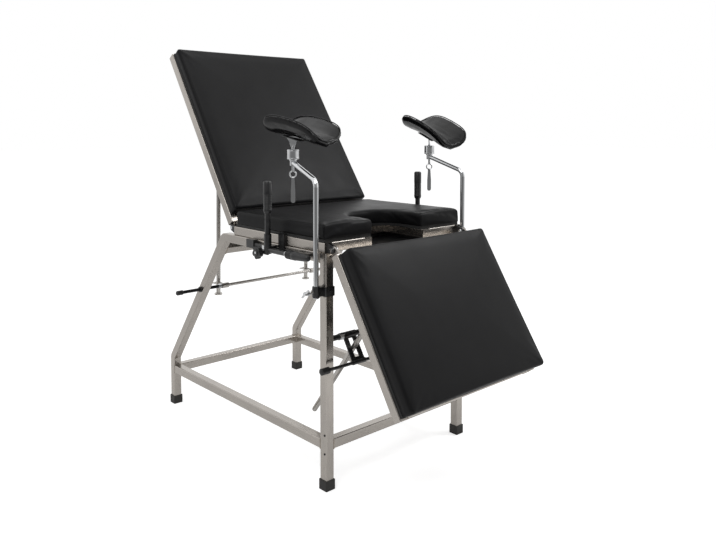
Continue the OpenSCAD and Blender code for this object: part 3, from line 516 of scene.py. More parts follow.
@dataclass
class Finishes:
    """Every finish of the chair, made once each."""

    made: dict[str, bpy.types.Material] = field(default_factory=dict)
    steel: tuple[Triple, Triple] = ((0.46, 0.428, 0.392), (0.41, 0.382, 0.353))
    bar: tuple[Triple, Triple] = ((0.5, 0.48, 0.45), (0.44, 0.42, 0.4))
    plate: tuple[Triple, Triple] = ((0.72, 0.73, 0.74), (0.66, 0.67, 0.68))
    seam: tuple[Triple, Triple] = ((0.42, 0.39, 0.35), (0.33, 0.28, 0.23))
    darkened: tuple[Triple, Triple] = ((0.03, 0.03, 0.032), (0.05, 0.05, 0.05))
    enamel_black: tuple[Triple, Triple] = ((0.007, 0.007, 0.008), (0.03, 0.029, 0.028))
    pad_black: tuple[Triple, Triple] = ((0.0045, 0.0045, 0.005), (0.0065, 0.0065, 0.0071))
    knee_black: tuple[Triple, Triple] = ((0.003, 0.003, 0.0033), (0.0045, 0.0045, 0.005))
    plastic_black: tuple[Triple, Triple] = ((0.008, 0.008, 0.009), (0.018, 0.018, 0.018))
    rubber_black: tuple[Triple, Triple] = ((0.014, 0.013, 0.012), (0.035, 0.033, 0.03))
    lining_black: tuple[Triple, Triple] = ((0.006, 0.006, 0.006), (0.014, 0.014, 0.014))
    drawn: Pair = (0.2, 0.3)
    ground: Pair = (0.18, 0.3)
    # Place across, in metres, up to which the release rod carries its painted dark reflection.
    rod_black: float = -0.226

    def steel_tube(self, run: Run) -> Metal:
        """Polished stainless tube, drawn along run."""
        return Metal("steel_tube_" + run.name.lower(), "steel", *self.steel, self.drawn, 0.000005, run)

    def strut_bar(self) -> Metal:
        """Ground round bar of the struts."""
        return Metal("strut_bar", "strut_steel", *self.bar, self.ground)

    def chrome(self) -> Metal:
        """Bright plating."""
        return Metal("bright_plating", "chrome", *self.plate, (0.06, 0.14), 0.000003)

    def enamel(self) -> Enamel:
        """Black paint of brackets, plates and rails."""
        return Enamel("black_enamel", "dark_metal", *self.enamel_black)

    def vinyl(self) -> Vinyl:
        """Vinyl of the three large pads."""
        return Vinyl("pad_vinyl", "vinyl", *self.pad_black, (0.36, 0.44), 0.13)

    def knee_vinyl(self) -> Vinyl:
        """Glossier moulded vinyl of the knee pads."""
        return Vinyl("knee_vinyl", "vinyl", *self.knee_black, (0.16, 0.26), 0.18, 0.0011, 0.00003, 0.0007)

    def welds(self) -> Metal:
        """Brushed weld seams with a faint heat tint."""
        return Metal("weld_seams", "steel", *self.seam, (0.3, 0.45), ripple=0.0006)

    def release_bar(self) -> Metal:
        """Round bar of the rear release rod, with a painted dark reflection of the black pads at its left
        end.
        """
        return Metal("release_bar", "chrome", *self.bar, self.ground, dark_reflection_until=self.rod_black)

    def dark_bar(self) -> Metal:
        """Blackened heads of rivets and bolts."""
        return Metal("dark_bar", "dark_metal", *self.darkened, (0.25, 0.4))

    def plastic(self) -> Moulding:
        """Black plastic of knobs, sleeves and caps."""
        return Moulding("black_plastic", "black_plastic", *self.plastic_black, (0.3, 0.45))

    def foot_rubber(self) -> Moulding:
        """Rubber of the foot caps, with a little dust."""
        return Moulding("foot_rubber", "cap_rubber", *self.rubber_black, (0.5, 0.7), 350.0, 0.00012)

    def lining(self) -> Covering:
        """Lining under the boards."""
        return Covering("board_lining", "board", *self.lining_black)

    def of(self, finish: Finish) -> bpy.types.Material:
        """The material of a finish, made at its first use.

        Args:
            finish: what the surface is.

        Returns:
            The material.
        """
        if finish.name not in self.made:
            self.made[finish.name] = finish.make()
        return self.made[finish.name]

    def dress(self, piece: Piece, finish: Finish) -> None:
        """Gives a piece one finish all over.

        Args:
            piece: the object.
            finish: what the surface is.
        """
        material = self.of(finish)
        if not piece.material_slots:
            piece.data.materials.append(material)
        for holder in piece.material_slots:
            holder.material = material
        for polygon in piece.data.polygons:
            polygon.material_index = 0


# Modelling by hand


class Bench:
    """Modelling with Blender's own operators, one piece at a time."""

    upright = 0.9
    sharp = 40.0
    close = 0.00001
    loose = 0.00002

    @staticmethod
    def only(piece: Piece | None) -> None:
        """Makes one object the selected and active one.

        Args:
            piece: the object, or None to select nothing.
        """
        if bpy.context.object and bpy.context.object.mode != "OBJECT":
            bpy.ops.object.mode_set(mode="OBJECT")
        bpy.ops.object.select_all(action="DESELECT")
        if piece is not None:
            piece.select_set(True)
        bpy.context.view_layer.objects.active = piece

    @staticmethod
    def pick(piece: Piece, test: Callable[[bmesh.types.BMFace], bool]) -> None:
        """Selects the faces of the piece in edit mode that pass a test.

        Args:
            piece: the object, in edit mode.
            test: says whether a face is wanted.
        """
        bpy.ops.mesh.select_mode(type="FACE")
        bpy.ops.mesh.select_all(action="DESELECT")
        mesh = bmesh.from_edit_mesh(piece.data)
        for face in mesh.faces:
            if test(face):
                face.select_set(True)
        bmesh.update_edit_mesh(piece.data)

    @classmethod
    def modify(cls, piece: Piece, kind: str, **settings: object) -> None:
        """Adds a modifier and applies it at once.

        Args:
            piece: the object.
            kind: Blender's name of the modifier.
            settings: its values.
        """
        cls.only(piece)
        modifier = piece.modifiers.new(kind.lower(), kind)
        for key, value in settings.items():
            setattr(modifier, key, value)
        bpy.ops.object.modifier_apply(modifier=modifier.name)

    @classmethod
    def settle(cls, piece: Piece, name: str, smooth: float = sharp) -> Piece:
        """Puts the place of a piece into its mesh, names it and smooths its shading.

        Args:
            piece: the object.
            name: the new name.
            smooth: edges sharper than this many degrees stay sharp.

        Returns:
            The same object.
        """
        cls.only(piece)
        piece.name = name
        piece.data.name = name
        bpy.ops.object.transform_apply(location=True, rotation=True, scale=True)
        bpy.ops.object.shade_smooth_by_angle(angle=math.radians(smooth))
        return piece

    @classmethod
    def turn(cls, name: str, profile: Sequence[Pair], at: Sequence[float] = ORIGIN, facing: Facing = Facing.Z,
             sides: int = 32, edge: float = 0.4) -> Piece:
        """Turns a closed round piece by extruding one face along a profile.

        Args:
            name: the piece's name.
            profile: radius and place along the axis of each step in millimetres, from the start.
            at: where the axis starts in the frame.
            facing: where the axis points.
            sides: faces round the piece.
            edge: width of the softened rims in millimetres.

        Returns:
            The object.
        """
        cls.only(None)
        steps = [(radius * MM, place * MM) for radius, place in profile]
        (radius, low), (width, reach) = steps[:2]
        bpy.ops.mesh.primitive_cylinder_add(vertices=sides, radius=radius, depth=reach - low,
                                            location=(0.0, 0.0, low + (reach - low) / 2))
        piece = bpy.context.object
        bpy.ops.object.transform_apply(location=True, rotation=False, scale=False)
        bpy.ops.object.mode_set(mode="EDIT")
        cls.pick(piece, lambda face: face.normal.z > cls.upright)
        cls._resize(width / radius, reach)
        for radius, place in steps[2:]:
            bpy.ops.mesh.extrude_region_move(TRANSFORM_OT_translate={"value": (0.0, 0.0, place - reach)})
            cls._resize(radius / width, place)
            reach, width = place, radius
        bpy.ops.object.mode_set(mode="OBJECT")
        cls.modify(piece, "WELD", merge_threshold=cls.close)
        if edge:
            cls.modify(piece, "BEVEL", width=edge * MM, segments=2, limit_method="ANGLE",
                       angle_limit=math.radians(cls.sharp))
        piece.rotation_euler = [math.radians(angle) for angle in facing.value]
        piece.location = at
        return cls.settle(piece, name)

    @staticmethod
    def _resize(ratio: float, height: float) -> None:
        """Scales what is selected about the axis of a turned piece."""
        if ratio != 1.0:
            bpy.ops.transform.resize(value=(ratio, ratio, 1.0), center_override=(0.0, 0.0, height))

    @classmethod
    def block(cls, name: str, low: Sequence[float], high: Sequence[float], edge: float = 1.2,
              segments: int = 2) -> Piece:
        """Makes a block with rounded edges.

        Args:
            name: the piece's name.
            low: its lowest corner in millimetres.
            high: its highest corner in millimetres.
            edge: width of its rounded edges in millimetres.
            segments: steps of the rounding.

        Returns:
            The object.
        """
        cls.only(None)
        middle = [(high[i] + low[i]) / 2 * MM for i in range(3)]
        bpy.ops.mesh.primitive_cube_add(size=1.0, location=middle)
        piece = bpy.context.object
        piece.scale = [(high[i] - low[i]) * MM for i in range(3)]
        bpy.ops.object.transform_apply(location=True, rotation=False, scale=True)
        cls.modify(piece, "BEVEL", width=edge * MM, segments=segments)
        return cls.settle(piece, name)

    @classmethod
    def copy(cls, piece: Piece, name: str, by: Matrix) -> Piece:
        """Copies a piece with its own mesh.

        Args:
            piece: what is copied.
            name: the copy's name.
            by: where it goes.

        Returns:
            The copy.
        """
        twin = piece.copy()
        twin.data = piece.data.copy()
        twin.name = twin.data.name = name
        bpy.context.scene.collection.objects.link(twin)
        twin.data.transform(by)
        if by.determinant() < 0:
            twin.data.flip_normals()
        return twin

    @classmethod
    def merge(cls, pieces: Sequence[Piece], name: str) -> Piece:
        """Joins pieces into one object.

        Args:
            pieces: what is joined.
            name: the joined piece's name.

        Returns:
            The first piece, which holds the rest.
        """
        cls.only(pieces[0])
        for piece in pieces:
            piece.select_set(True)
        if len(pieces) > 1:
            bpy.ops.object.join()
        pieces[0].name = pieces[0].data.name = name
        return pieces[0]

    @classmethod
    def scatter(cls, master: Piece, places: Iterable[Matrix]) -> Piece:
        """Copies a piece to many places, joins the copies and drops the first.

        Args:
            master: the piece, modelled about the origin.
            places: where each copy goes.

        Returns:
            The joined piece, under the master's name.
        """
        name = master.name
        twins = [cls.copy(master, "%s_%d" % (name, number), place) for number, place in enumerate(places)]
        bpy.data.objects.remove(master)
        return cls.merge(twins, name)

    @classmethod
    def dish(cls, piece: Piece, inset: float, depth: float) -> Piece:
        """Sinks a round recess into the flat top of a piece that stands along Z.

        Args:
            piece: the object.
            inset: width of the rim that stays, in millimetres.
            depth: depth of the recess in millimetres.

        Returns:
            The same object.
        """
        cls.only(piece)
        top = max(vertex.co.z for vertex in piece.data.vertices) - cls.close
        bpy.ops.object.mode_set(mode="EDIT")
        cls.pick(piece, lambda face: face.normal.z > cls.upright and face.calc_center_median().z > top)
        bpy.ops.mesh.inset(thickness=inset * MM)
        bpy.ops.mesh.extrude_region_move(TRANSFORM_OT_translate={"value": (0.0, 0.0, -depth * MM)})
        bpy.ops.object.mode_set(mode="OBJECT")
        return piece

    @classmethod
    def from_node(cls, node: Piece, name: str) -> Piece:
        """Copies a solid's mesh and merges its loose triangles.

        Args:
            node: the solid.
            name: the copy's name.

        Returns:
            The copy, tied to no body.
        """
        twin = cls.copy(node, name, Matrix.Identity(4))
        twin.parent = None
        twin.matrix_world = Matrix.Identity(4)
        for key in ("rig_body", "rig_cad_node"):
            if key in twin:
                del twin[key]
        cls.only(twin)
        bpy.ops.object.mode_set(mode="EDIT")
        bpy.ops.mesh.select_all(action="SELECT")
        bpy.ops.mesh.remove_doubles(threshold=cls.loose)
        bpy.ops.mesh.normals_make_consistent(inside=False)
        bpy.ops.object.mode_set(mode="OBJECT")
        if twin.data.has_custom_normals:
            bpy.ops.mesh.customdata_custom_splitnormals_clear()
        return twin


# Upholstery


@dataclass(frozen=True)
class Stuffing:
    """How a pad is filled and how far its cover may swell."""

    voxel: float = 0.006
    smoothing: int = 2
    inset: float = 0.0005
    cap: float = 0.0021
    pressure: float = 4.0
    stiffness: float = 18.0
    bending: float = 2.0
    quality: int = 4
    last_frame: int = 20
    fill: float = 0.8
    base_grip: float = 0.004
    soft_edge: float = 80.0


@dataclass
class Upholsterer:
    """Makes covered pads from the solids of the source."""

    nodes: dict[str, Piece]
    finishes: Finishes

    def cover(self, node: str, name: str, body: str, stuffing: Stuffing, finish: Vinyl, tilt: float) -> Piece:
        """Swells a pad's cover over its foam and puts it in the place of its solid.

        Args:
            node: the pad's solid.
            name: the piece's name.
            body: what it rides on.
            stuffing: its filling.
            finish: its cover.
            tilt: how far the pad leans back from level, in degrees.

        Returns:
            The pad.
        """
        lay_flat = Matrix.Rotation(math.radians(-tilt), 4, "X")
        pad = Bench.from_node(self.nodes[node], name)
        pad.data.transform(lay_flat)
        pad.data.remesh_voxel_size = stuffing.voxel
        Bench.only(pad)
        bpy.ops.object.voxel_remesh()
        Bench.modify(pad, "SMOOTH", factor=0.5, iterations=stuffing.smoothing)
        self._swell(pad, stuffing)
        Bench.modify(pad, "SUBSURF", levels=1, render_levels=1)
        pad.data.transform(lay_flat.inverted())
        Bench.settle(pad, name, stuffing.soft_edge)
        self.finishes.dress(pad, finish)
        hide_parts(node)
        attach(pad, body)
        return pad

    @staticmethod
    def _swell(pad: Piece, stuffing: Stuffing) -> None:
        """Runs the cover as cloth under pressure, caps how far it moves and keeps the result.

        Args:
            pad: the remeshed pad, base down.
            stuffing: its filling.
        """
        mesh = pad.data
        low = min(vertex.co.z for vertex in mesh.vertices)
        group = pad.vertex_groups.new(name="held")
        for vertex in mesh.vertices:
            held = vertex.co.z - low < stuffing.base_grip
            if not held:
                vertex.co -= vertex.normal * stuffing.inset
            group.add([vertex.index], 1.0 if held else 0.0, "REPLACE")
        start = [vertex.co.copy() for vertex in mesh.vertices]
        cloth = pad.modifiers.new("cover", "CLOTH")
        settings = cloth.settings
        settings.use_pressure = True
        settings.uniform_pressure_force = stuffing.pressure
        settings.effector_weights.gravity = 0.0
        settings.vertex_group_mass = group.name
        settings.quality = stuffing.quality
        settings.tension_stiffness = settings.compression_stiffness = stuffing.stiffness
        settings.bending_stiffness = stuffing.bending
        cloth.collision_settings.use_collision = False
        cloth.point_cache.frame_start = 1
        cloth.point_cache.frame_end = stuffing.last_frame
        for number in range(1, stuffing.last_frame + 1):
            bpy.context.scene.frame_set(number)
        shaped = pad.evaluated_get(bpy.context.evaluated_depsgraph_get())
        moved = [vertex.co.copy() for vertex in shaped.data.vertices]
        pad.modifiers.remove(cloth)
        for vertex, first, last in zip(mesh.vertices, start, moved):
            step = last - first
            if step.length > stuffing.cap:
                step *= stuffing.cap / step.length
            vertex.co = first + step
        pad.vertex_groups.clear()
        bpy.context.scene.frame_set(1)


@dataclass
class Pads:
    """The three large pads and the two knee pads."""

    frame: dict
    plan: Plan
    finishes: Finishes
    flat: Stuffing = Stuffing()
    knee: Stuffing = Stuffing(voxel=0.004, inset=0.0002, cap=0.001, fill=0.9)

    def build(self) -> list[Piece]:
        """Builds every pad.

        Returns:
            The pads.
        """
        upholsterer = Upholsterer(self.frame["nodes"], self.finishes)
        made = []
        for node, name, body, tilt in (
            ("seat_pad", "seat_cushion", "base", 0.0),
            ("back_pad", "back_cushion", "backrest", self.plan.back_angle),
            ("leg_pad", "leg_cushion", "leg_section", self.plan.leg_angle),
        ):
            made.append(upholsterer.cover(node, name, body, self.flat, self.finishes.vinyl(), tilt))
        for (side, _), (slope, _) in zip(SIDES, self.plan.knee_poses):
            made.append(upholsterer.cover("knee_pad_" + side, "knee_cushion_" + side, "knee_rest_" + side,
                                          self.knee, self.finishes.knee_vinyl(), slope))
        return made


# Solids that stay as they are


@dataclass
class BareNodes:
    """Solids that only get their finish."""

    frame: dict
    finishes: Finishes

    def plan(self) -> tuple[tuple[Finish, tuple[str, ...]], ...]:
        """Sorts the solids by finish.

        Returns:
            Each finish with how the names of its solids start.
        """
        look = self.finishes
        return (
            (look.steel_tube(Run.ALONG_Z), ("front_leg",)),
            (look.steel_tube(Run.DOWN_REAR_LEG), ("rear_leg",)),
            (look.steel_tube(Run.ALONG_Y), ("low_side_rails", "seat_frame")),
            (look.steel_tube(Run.ALONG_X), ("low_cross_rails", "rear_cross_rail")),
            (look.steel_tube(Run.UP_BACK), ("back_frame",)),
            (look.steel_tube(Run.DOWN_LEG), ("leg_frame",)),
            (look.strut_bar(), ("back_strut", "leg_strut", "back_lock_plates")),
            (look.release_bar(), ("back_release_rod",)),
            (look.chrome(), ("hinge_pins", "lock_springs", "clamp_screw", "knee_post", "knee_neck",
                             "lock_handle")),
            (look.enamel(), ("lock_cross_tube", "back_hinge_brackets", "leg_hinge_brackets",
                             "leg_lock_plates", "leg_release_rod", "grip_rails", "grip_socket", "grip_post",
                             "clamp_bands", "post_collar", "cutout_tray")),
            (look.plastic(), ("hub_bush", "rod_bushes", "back_rod_caps", "leg_rod_caps", "grip_knob",
                              "grip_lever", "grip_sleeve")),
            (look.foot_rubber(), ("foot_caps",)),
            (look.lining(), ("seat_board", "back_board", "leg_board")),
        )

    def dress(self) -> None:
        """Gives every solid its finish."""
        for finish, starts in self.plan():
            for name, node in self.frame["nodes"].items():
                if name.startswith(starts):
                    self.finishes.dress(node, finish)


# Fittings


@dataclass(frozen=True)
class Section:
    """A tilting section: its body, pin, tilt, cross tubes and screws."""

    body: str
    pin: Pair
    angle: float
    tubes: tuple[float, ...]
    screws: tuple[float, ...]

    def place(self, plan: Plan, x: float, along: float, up: float, facing: Facing) -> Matrix:
        """Moves a piece from the origin to a place on the section.

        Args:
            plan: the chair's places.
            x: place across.
            along: distance from the pin along the section.
            up: height over the pin, square to the section.
            facing: where its Z goes, with the section drawn flat.

        Returns:
            The move.
        """
        flat = Matrix.Translation(Vector((x, along, up)) * MM) @ facing.turn()
        return plan.put(0.0, *self.pin, lean=self.angle) @ flat


@dataclass
class Fitter:
    """Shared ways to finish a small piece."""

    plan: Plan
    finishes: Finishes
    made: list[Piece] = field(default_factory=list)

    def give(self, piece: Piece, finish: Finish, body: str, *replaced: str) -> Piece:
        """Dresses a piece, mounts it on a body and lists it.

        Args:
            piece: the object.
            finish: its surface.
            body: what it rides on.
            replaced: solids that it stands for.

        Returns:
            The piece.
        """
        self.finishes.dress(piece, finish)
        if replaced:
            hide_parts(*replaced)
        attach(piece, body)
        self.made.append(piece)
        return piece

    def lay(self, master: Piece, places: Iterable[Matrix], finish: Finish, body: str) -> None:
        """Copies a piece to its places on one body.

        Args:
            master: the piece, modelled about the origin.
            places: where each copy goes.
            finish: its surface.
            body: what the copies ride on.
        """
        self.give(Bench.scatter(master, places), finish, body)

    @staticmethod
    def screw(name: str, size: Pair) -> Piece:
        """Turns a domed screw head with a socket.

        Args:
            name: the piece's name.
            size: its radius and height.

        Returns:
            The head, standing on the origin.
        """
        radius, height = size
        dome = [(radius, 0.0), (radius, height * 0.4), (radius * 0.86, height * 0.8), (radius * 0.6, height)]
        return Bench.dish(Bench.turn(name, dome, sides=18, edge=0.3), radius * 0.22, height * 0.4)

    @staticmethod
    def nut(name: str, size: Pair) -> Piece:
        """Turns a hexagon nut with broken edges and its washer.

        Args:
            name: the piece's name.
            size: the nut's radius and height.

        Returns:
            Both, standing on the origin.
        """
        radius, height = size
        ring = [(radius * 1.25, 0.0), (radius * 1.25, 0.8)]
        washer = Bench.turn(name + "_washer", ring, sides=24, edge=0.2)
        body = [(radius, 0.6), (radius, height * 0.85), (radius * 0.88, height)]
        return Bench.merge((washer, Bench.turn(name + "_nut", body, sides=6, edge=0.3)), name)


@dataclass
class Joinery(Fitter):
    """Weld seams, screws and rivets of the base and of the moving frames."""

    bead_side: float = 32.4
    bead_width: float = 3.6
    bead_edge: float = 1.3
    section_half: float = 280.0
    brace: Pair = (119.83, 657.0)
    seat_tubes: Pair = (5.0, -272.0)
    seat_axis: float = 733.0
    back_tubes: tuple[float, ...] = (27.0, 200.0, 380.0, 730.0)
    leg_tubes: tuple[float, ...] = (-38.0, -204.0, -375.0, -498.0)
    tube_axis: float = 10.0
    screw_size: Pair = (5.0, 2.6)
    screw_out: float = 295.0
    back_screws: tuple[float, ...] = (70.0, 290.0, 510.0, 700.0)
    leg_screws: tuple[float, ...] = (-70.0, -290.0, -465.0)
    seat_screws: Pair = (-100.0, -20.0)
    tube_under: float = -5.0
    seat_under: float = 718.0
    rivet_size: Pair = (3.4, 2.0)
    leg_face: Pair = (315.0, -474.0)
    leg_rivets: Pair = (169.0, 112.0)
    cheek_rivet: Triple = (297.0, -482.0, 709.0)

    def build(self) -> list[Piece]:
        """Builds every seam and screw.

        Returns:
            The pieces.
        """
        sections = (
            Section("backrest", self.plan.back_pin, self.plan.back_angle, self.back_tubes, self.back_screws),
            Section("leg_section", self.plan.leg_pin, self.plan.leg_angle, self.leg_tubes, self.leg_screws),
        )
        self._seams("base", self._base_seams())
        for section in sections:
            self._seams(section.body, [
                section.place(self.plan, s * self.section_half, along, self.tube_axis, Facing.X)
                for s in BOTH for along in section.tubes])
        for section in sections:
            places = [section.place(self.plan, s * self.screw_out, along, self.tube_under, Facing.NEG_Z)
                      for s in BOTH for along in section.screws]
            head = self.screw(section.body + "_screws", self.screw_size)
            self.lay(head, places, self.finishes.chrome(), section.body)
        self._base_screws()
        return self.made

    def _base_seams(self) -> list[Matrix]:
        """Places the seams of the base.

        Returns:
            Where each seam goes.
        """
        plan = self.plan
        inner, ends = plan.half - plan.tube / 2, plan.reach - plan.tube / 2
        low = plan.low_rail
        seams = [plan.put(s * plan.half, y, low, Facing.Y) for s in BOTH for y in (-ends, ends)]
        seams += [plan.put(s * inner, way * plan.reach, low, Facing.X) for s in BOTH for way in BOTH]
        seams += [plan.put(s * plan.half, -ends, plan.top_rail, Facing.Y) for s in BOTH]
        seams += [plan.put(s * inner, *self.brace, Facing.X, plan.lean) for s in BOTH]
        across = self.section_half
        seams += [plan.put(s * across, y, self.seat_axis, Facing.X) for s in BOTH for y in self.seat_tubes]
        return seams

    def _seams(self, body: str, places: Sequence[Matrix]) -> None:
        """Lays the weld seams of one body.

        Args:
            body: what they ride on.
            places: where each seam goes.
        """
        half, thick = self.bead_side / 2, self.bead_width / 2
        bead = Bench.block(body + "_welds", (-half, -half, -thick), (half, half, thick), self.bead_edge, 3)
        self.lay(bead, places, self.finishes.welds(), body)

    def _base_screws(self) -> None:
        """Sets the rivets of the legs and cheeks and the screws under the seat."""
        put = self.plan.put
        out, front = self.leg_face
        rivets = [put(s * out, front, z, Facing.outward(s)) for s in BOTH for z in self.leg_rivets]
        out, front, high = self.cheek_rivet
        rivets += [put(s * out, front, high, Facing.NEG_Y) for s in BOTH]
        self.lay(self.screw("leg_rivets", self.rivet_size), rivets, self.finishes.dark_bar(), "base")
        out, under = self.screw_out, self.seat_under
        screws = [put(s * out, y, under, Facing.NEG_Z) for s in BOTH for y in self.seat_screws]
        self.lay(self.screw("seat_screws", self.screw_size), screws, self.finishes.chrome(), "base")


@dataclass
class Hinges(Fitter):
    """Nuts of the hinges and of the struts' pivots."""

    nut_size: Pair = (5.4, 4.2)
    hinge: float = 295.0
    pin_out: float = 11.0
    strut: float = 212.0
    lug_out: float = 18.0
    back_pivot: Pair = (276.66, 1042.65)
    leg_pivot: Pair = (-586.85, 547.68)

    def build(self) -> list[Piece]:
        """Builds the nuts.

        Returns:
            The pieces.
        """
        plan = self.plan
        pins = [plan.put(s * (self.hinge - self.pin_out), *pin, Facing.outward(-s))
                for s in BOTH for pin in (plan.back_pin, plan.leg_pin)]
        self.lay(self.nut("hinge_nuts", self.nut_size), pins, self.finishes.chrome(), "base")
        for name, body, pivot in (("back_pivot_nuts", "back_struts", self.back_pivot),
                                  ("leg_pivot_nuts", "leg_struts", self.leg_pivot)):
            places = [plan.put(s * (self.strut + way * self.lug_out), *pivot, Facing.outward(s * way))
                      for s in BOTH for way in BOTH]
            self.lay(self.nut(name, self.nut_size), places, self.finishes.chrome(), body)
        return self.made


@dataclass
class KneeRests(Fitter):
    """Necks and rims of the knee rests, rings of their hubs and screws of their clamps."""

    hub_radius: float = 18.5
    ring_places: Pair = (1.5, 25.0)
    collar_out: float = 27.0
    collar_grooves: int = 4
    groove_pitch: float = 1.6
    bolt_size: Pair = (4.2, 3.0)
    bolt_place: Pair = (300.0, -485.0)
    pad: Triple = (226.0, 175.0, 24.0)
    pad_gap: float = 0.3
    rise: float = 46.0
    curls: Pair = (8.0, 15.0)
    squareness: float = 4.6
    offset: Triple = (11.0, 20.0, 50.0)
    seat_length: float = 74.0
    fan_start: float = 18.0
    fan_half: float = 2.2
    fan_yaw: float = 38.0
    seat_plate: tuple[Triple, Triple] = ((-33.5, -47.0, -3.0), (22.5, 27.0, 0.0))
    rim_radius: float = 1.9
    rim_share: Pair = (0.95, 0.85)
    rim_steps: int = 96

    def build(self) -> list[Piece]:
        """Builds both sides.

        Returns:
            The pieces.
        """
        for (side, way), (slope, toe) in zip(SIDES, self.plan.knee_poses):
            tip = (Matrix.Rotation(math.radians(-toe), 4, "Z")
                   @ Matrix.Translation((0.0, 0.0, self.offset[2] * MM))
                   @ Matrix.Rotation(math.radians(slope), 4, "X"))
            ball = Matrix.Translation(self.plan.at(way * self.plan.hub[0], self.plan.hub[1], self.plan.ball))
            self._hub(side, way)
            self._clamp(side, way)
            self._rim(side, way, tip)
            self._gusset(side, way, ball)
            plate = Bench.block("knee_plate_" + side, *self.seat_plate)
            self.lay(plate, [ball @ Matrix.Diagonal((way, 1.0, 1.0, 1.0)) @ tip], self.finishes.enamel(),
                     "knee_rest_" + side)
        return self.made

    def _gusset(self, side: str, way: int, ball: Matrix) -> None:
        """Turns the ball and its stem, and presses the top flat into a fan.

        Args:
            side: left or right.
            way: -1 on the left and 1 on the right.
            ball: the ball's place.
        """
        profile = ((5.0, -7.5), (7.4, -5.0), (8.9, -1.0), (8.9, 1.5), (7.0, 5.8), (4.5, 8.5), (4.5, 17.0),
                   (7.0, 22.0), (8.5, 28.0), (11.5, 35.0), (15.5, 42.0), (19.5, 48.0), (20.0, 52.0))
        fan = Bench.turn("knee_gusset_" + side, profile, edge=0.0)
        half = self.fan_half * MM
        for vertex in fan.data.vertices:
            if vertex.co.z > self.fan_start * MM:
                vertex.co.y = max(-half, min(half, vertex.co.y))
        fan.data.transform(ball @ Matrix.Rotation(math.radians(way * self.fan_yaw), 4, "Z"))
        Bench.settle(fan, fan.name)
        self.give(fan, self.finishes.chrome(), "knee_rest_" + side, "knee_neck_" + side)

    def _hub(self, side: str, way: int) -> None:
        """Turns two raised rings round the hub and a collar under it.

        Args:
            side: left or right.
            way: -1 on the left and 1 on the right.
        """
        x, y, low = self.plan.hub
        inner, outer = self.hub_radius - 0.3, self.hub_radius + 0.9
        profile = ((inner, 0.0), (outer, 0.7), (outer, 2.3), (inner, 3.0))
        ring = Bench.turn("hub_rings_" + side, profile, sides=40, edge=0.3)
        places = [self.plan.put(way * x, y, low + up) for up in self.ring_places]
        self.lay(ring, places, self.finishes.chrome(), "knee_post_" + side)
        collar = Bench.turn("hub_collar_" + side, ((12.5, 0.0), (12.5, 4.0), (11.0, 5.0)),
                            self.plan.at(way * x, y, low), Facing.NEG_Z, 24)
        self.give(collar, self.finishes.chrome(), "knee_post_" + side)

    def _clamp(self, side: str, way: int) -> None:
        """Turns a grooved collar on the clamp's screw and a bolt on its band.

        Args:
            side: left or right.
            way: -1 on the left and 1 on the right.
        """
        high, deep, wide = 7.2, 6.4, 0.6
        grooves: list[Pair] = [(high, 0.0), (high, 1.0)]
        for step in range(self.collar_grooves):
            start, end = 1.0 + step * self.groove_pitch, 1.0 + step * self.groove_pitch + self.groove_pitch
            grooves += [(deep, start), (deep, start + wide), (high, start + wide), (high, end)]
        x, y = self.plan.post
        spot = self.plan.at(way * (x + self.collar_out), y, self.plan.band)
        collar = Bench.turn("screw_collar_" + side, grooves, spot, Facing.outward(way), 24, 0.2)
        self.give(collar, self.finishes.chrome(), "clamp_screw_" + side)
        out, front = self.bolt_place
        place = self.plan.put(way * out, front, self.plan.band, Facing.NEG_Y)
        self.lay(self.screw("band_bolt_" + side, self.bolt_size), [place], self.finishes.dark_bar(), "base")

    def _rim(self, side: str, way: int, tip: Matrix) -> None:
        """Bends a bar along the rolled edge of a knee pad, on the outline that the source gives.

        Args:
            side: left or right.
            way: -1 on the left and 1 on the right.
            tip: how the pad is set on its ball.
        """
        curve = bpy.data.curves.new("knee_rim_" + side, "CURVE")
        curve.dimensions = "3D"
        curve.bevel_depth = self.rim_radius * MM
        curve.bevel_resolution = 2
        spline = curve.splines.new("POLY")
        spline.use_cyclic_u = True
        spline.points.add(self.rim_steps - 1)
        x, y, _ = self.plan.hub
        for knot, point in zip(spline.points, self._outline()):
            spot = tip.to_3x3() @ point + tip.translation / MM
            knot.co = (*self.plan.at(way * (x + spot.x), y + spot.y, self.plan.ball + spot.z), 1.0)
        rim = bpy.data.objects.new(curve.name, curve)
        bpy.context.scene.collection.objects.link(rim)
        Bench.only(rim)
        bpy.ops.object.convert(target="MESH")
        Bench.settle(bpy.context.object, "knee_rim_" + side, 60.0)
        self.give(bpy.context.object, self.finishes.knee_vinyl(), "knee_rest_" + side)

    def _outline(self) -> Iterable[Vector]:
        """Follows the edge of a knee pad.

        Yields:
            Points in millimetres, with the pad level and its seat plate at the origin.
        """
        length, width, thick = self.pad
        inward, foot, _ = self.offset
        front, back = self.curls
        dip = back * ((self.seat_length + foot) / length) ** 2
        share, level = self.rim_share
        for step in range(self.rim_steps):
            angle = 2.0 * math.pi * step / self.rim_steps
            v, u = share * self._blunt(math.cos(angle)), -share * self._blunt(math.sin(angle))
            high = self.rise * v * v - (front if u > 0 else back) * u * u + thick * level
            yield Vector((v * width / 2 - inward, -u * length / 2 - foot, high + dip + self.pad_gap))

    def _blunt(self, value: float) -> float:
        """The source's blunted circle."""
        return math.copysign(abs(value) ** (2.0 / self.squareness), value)


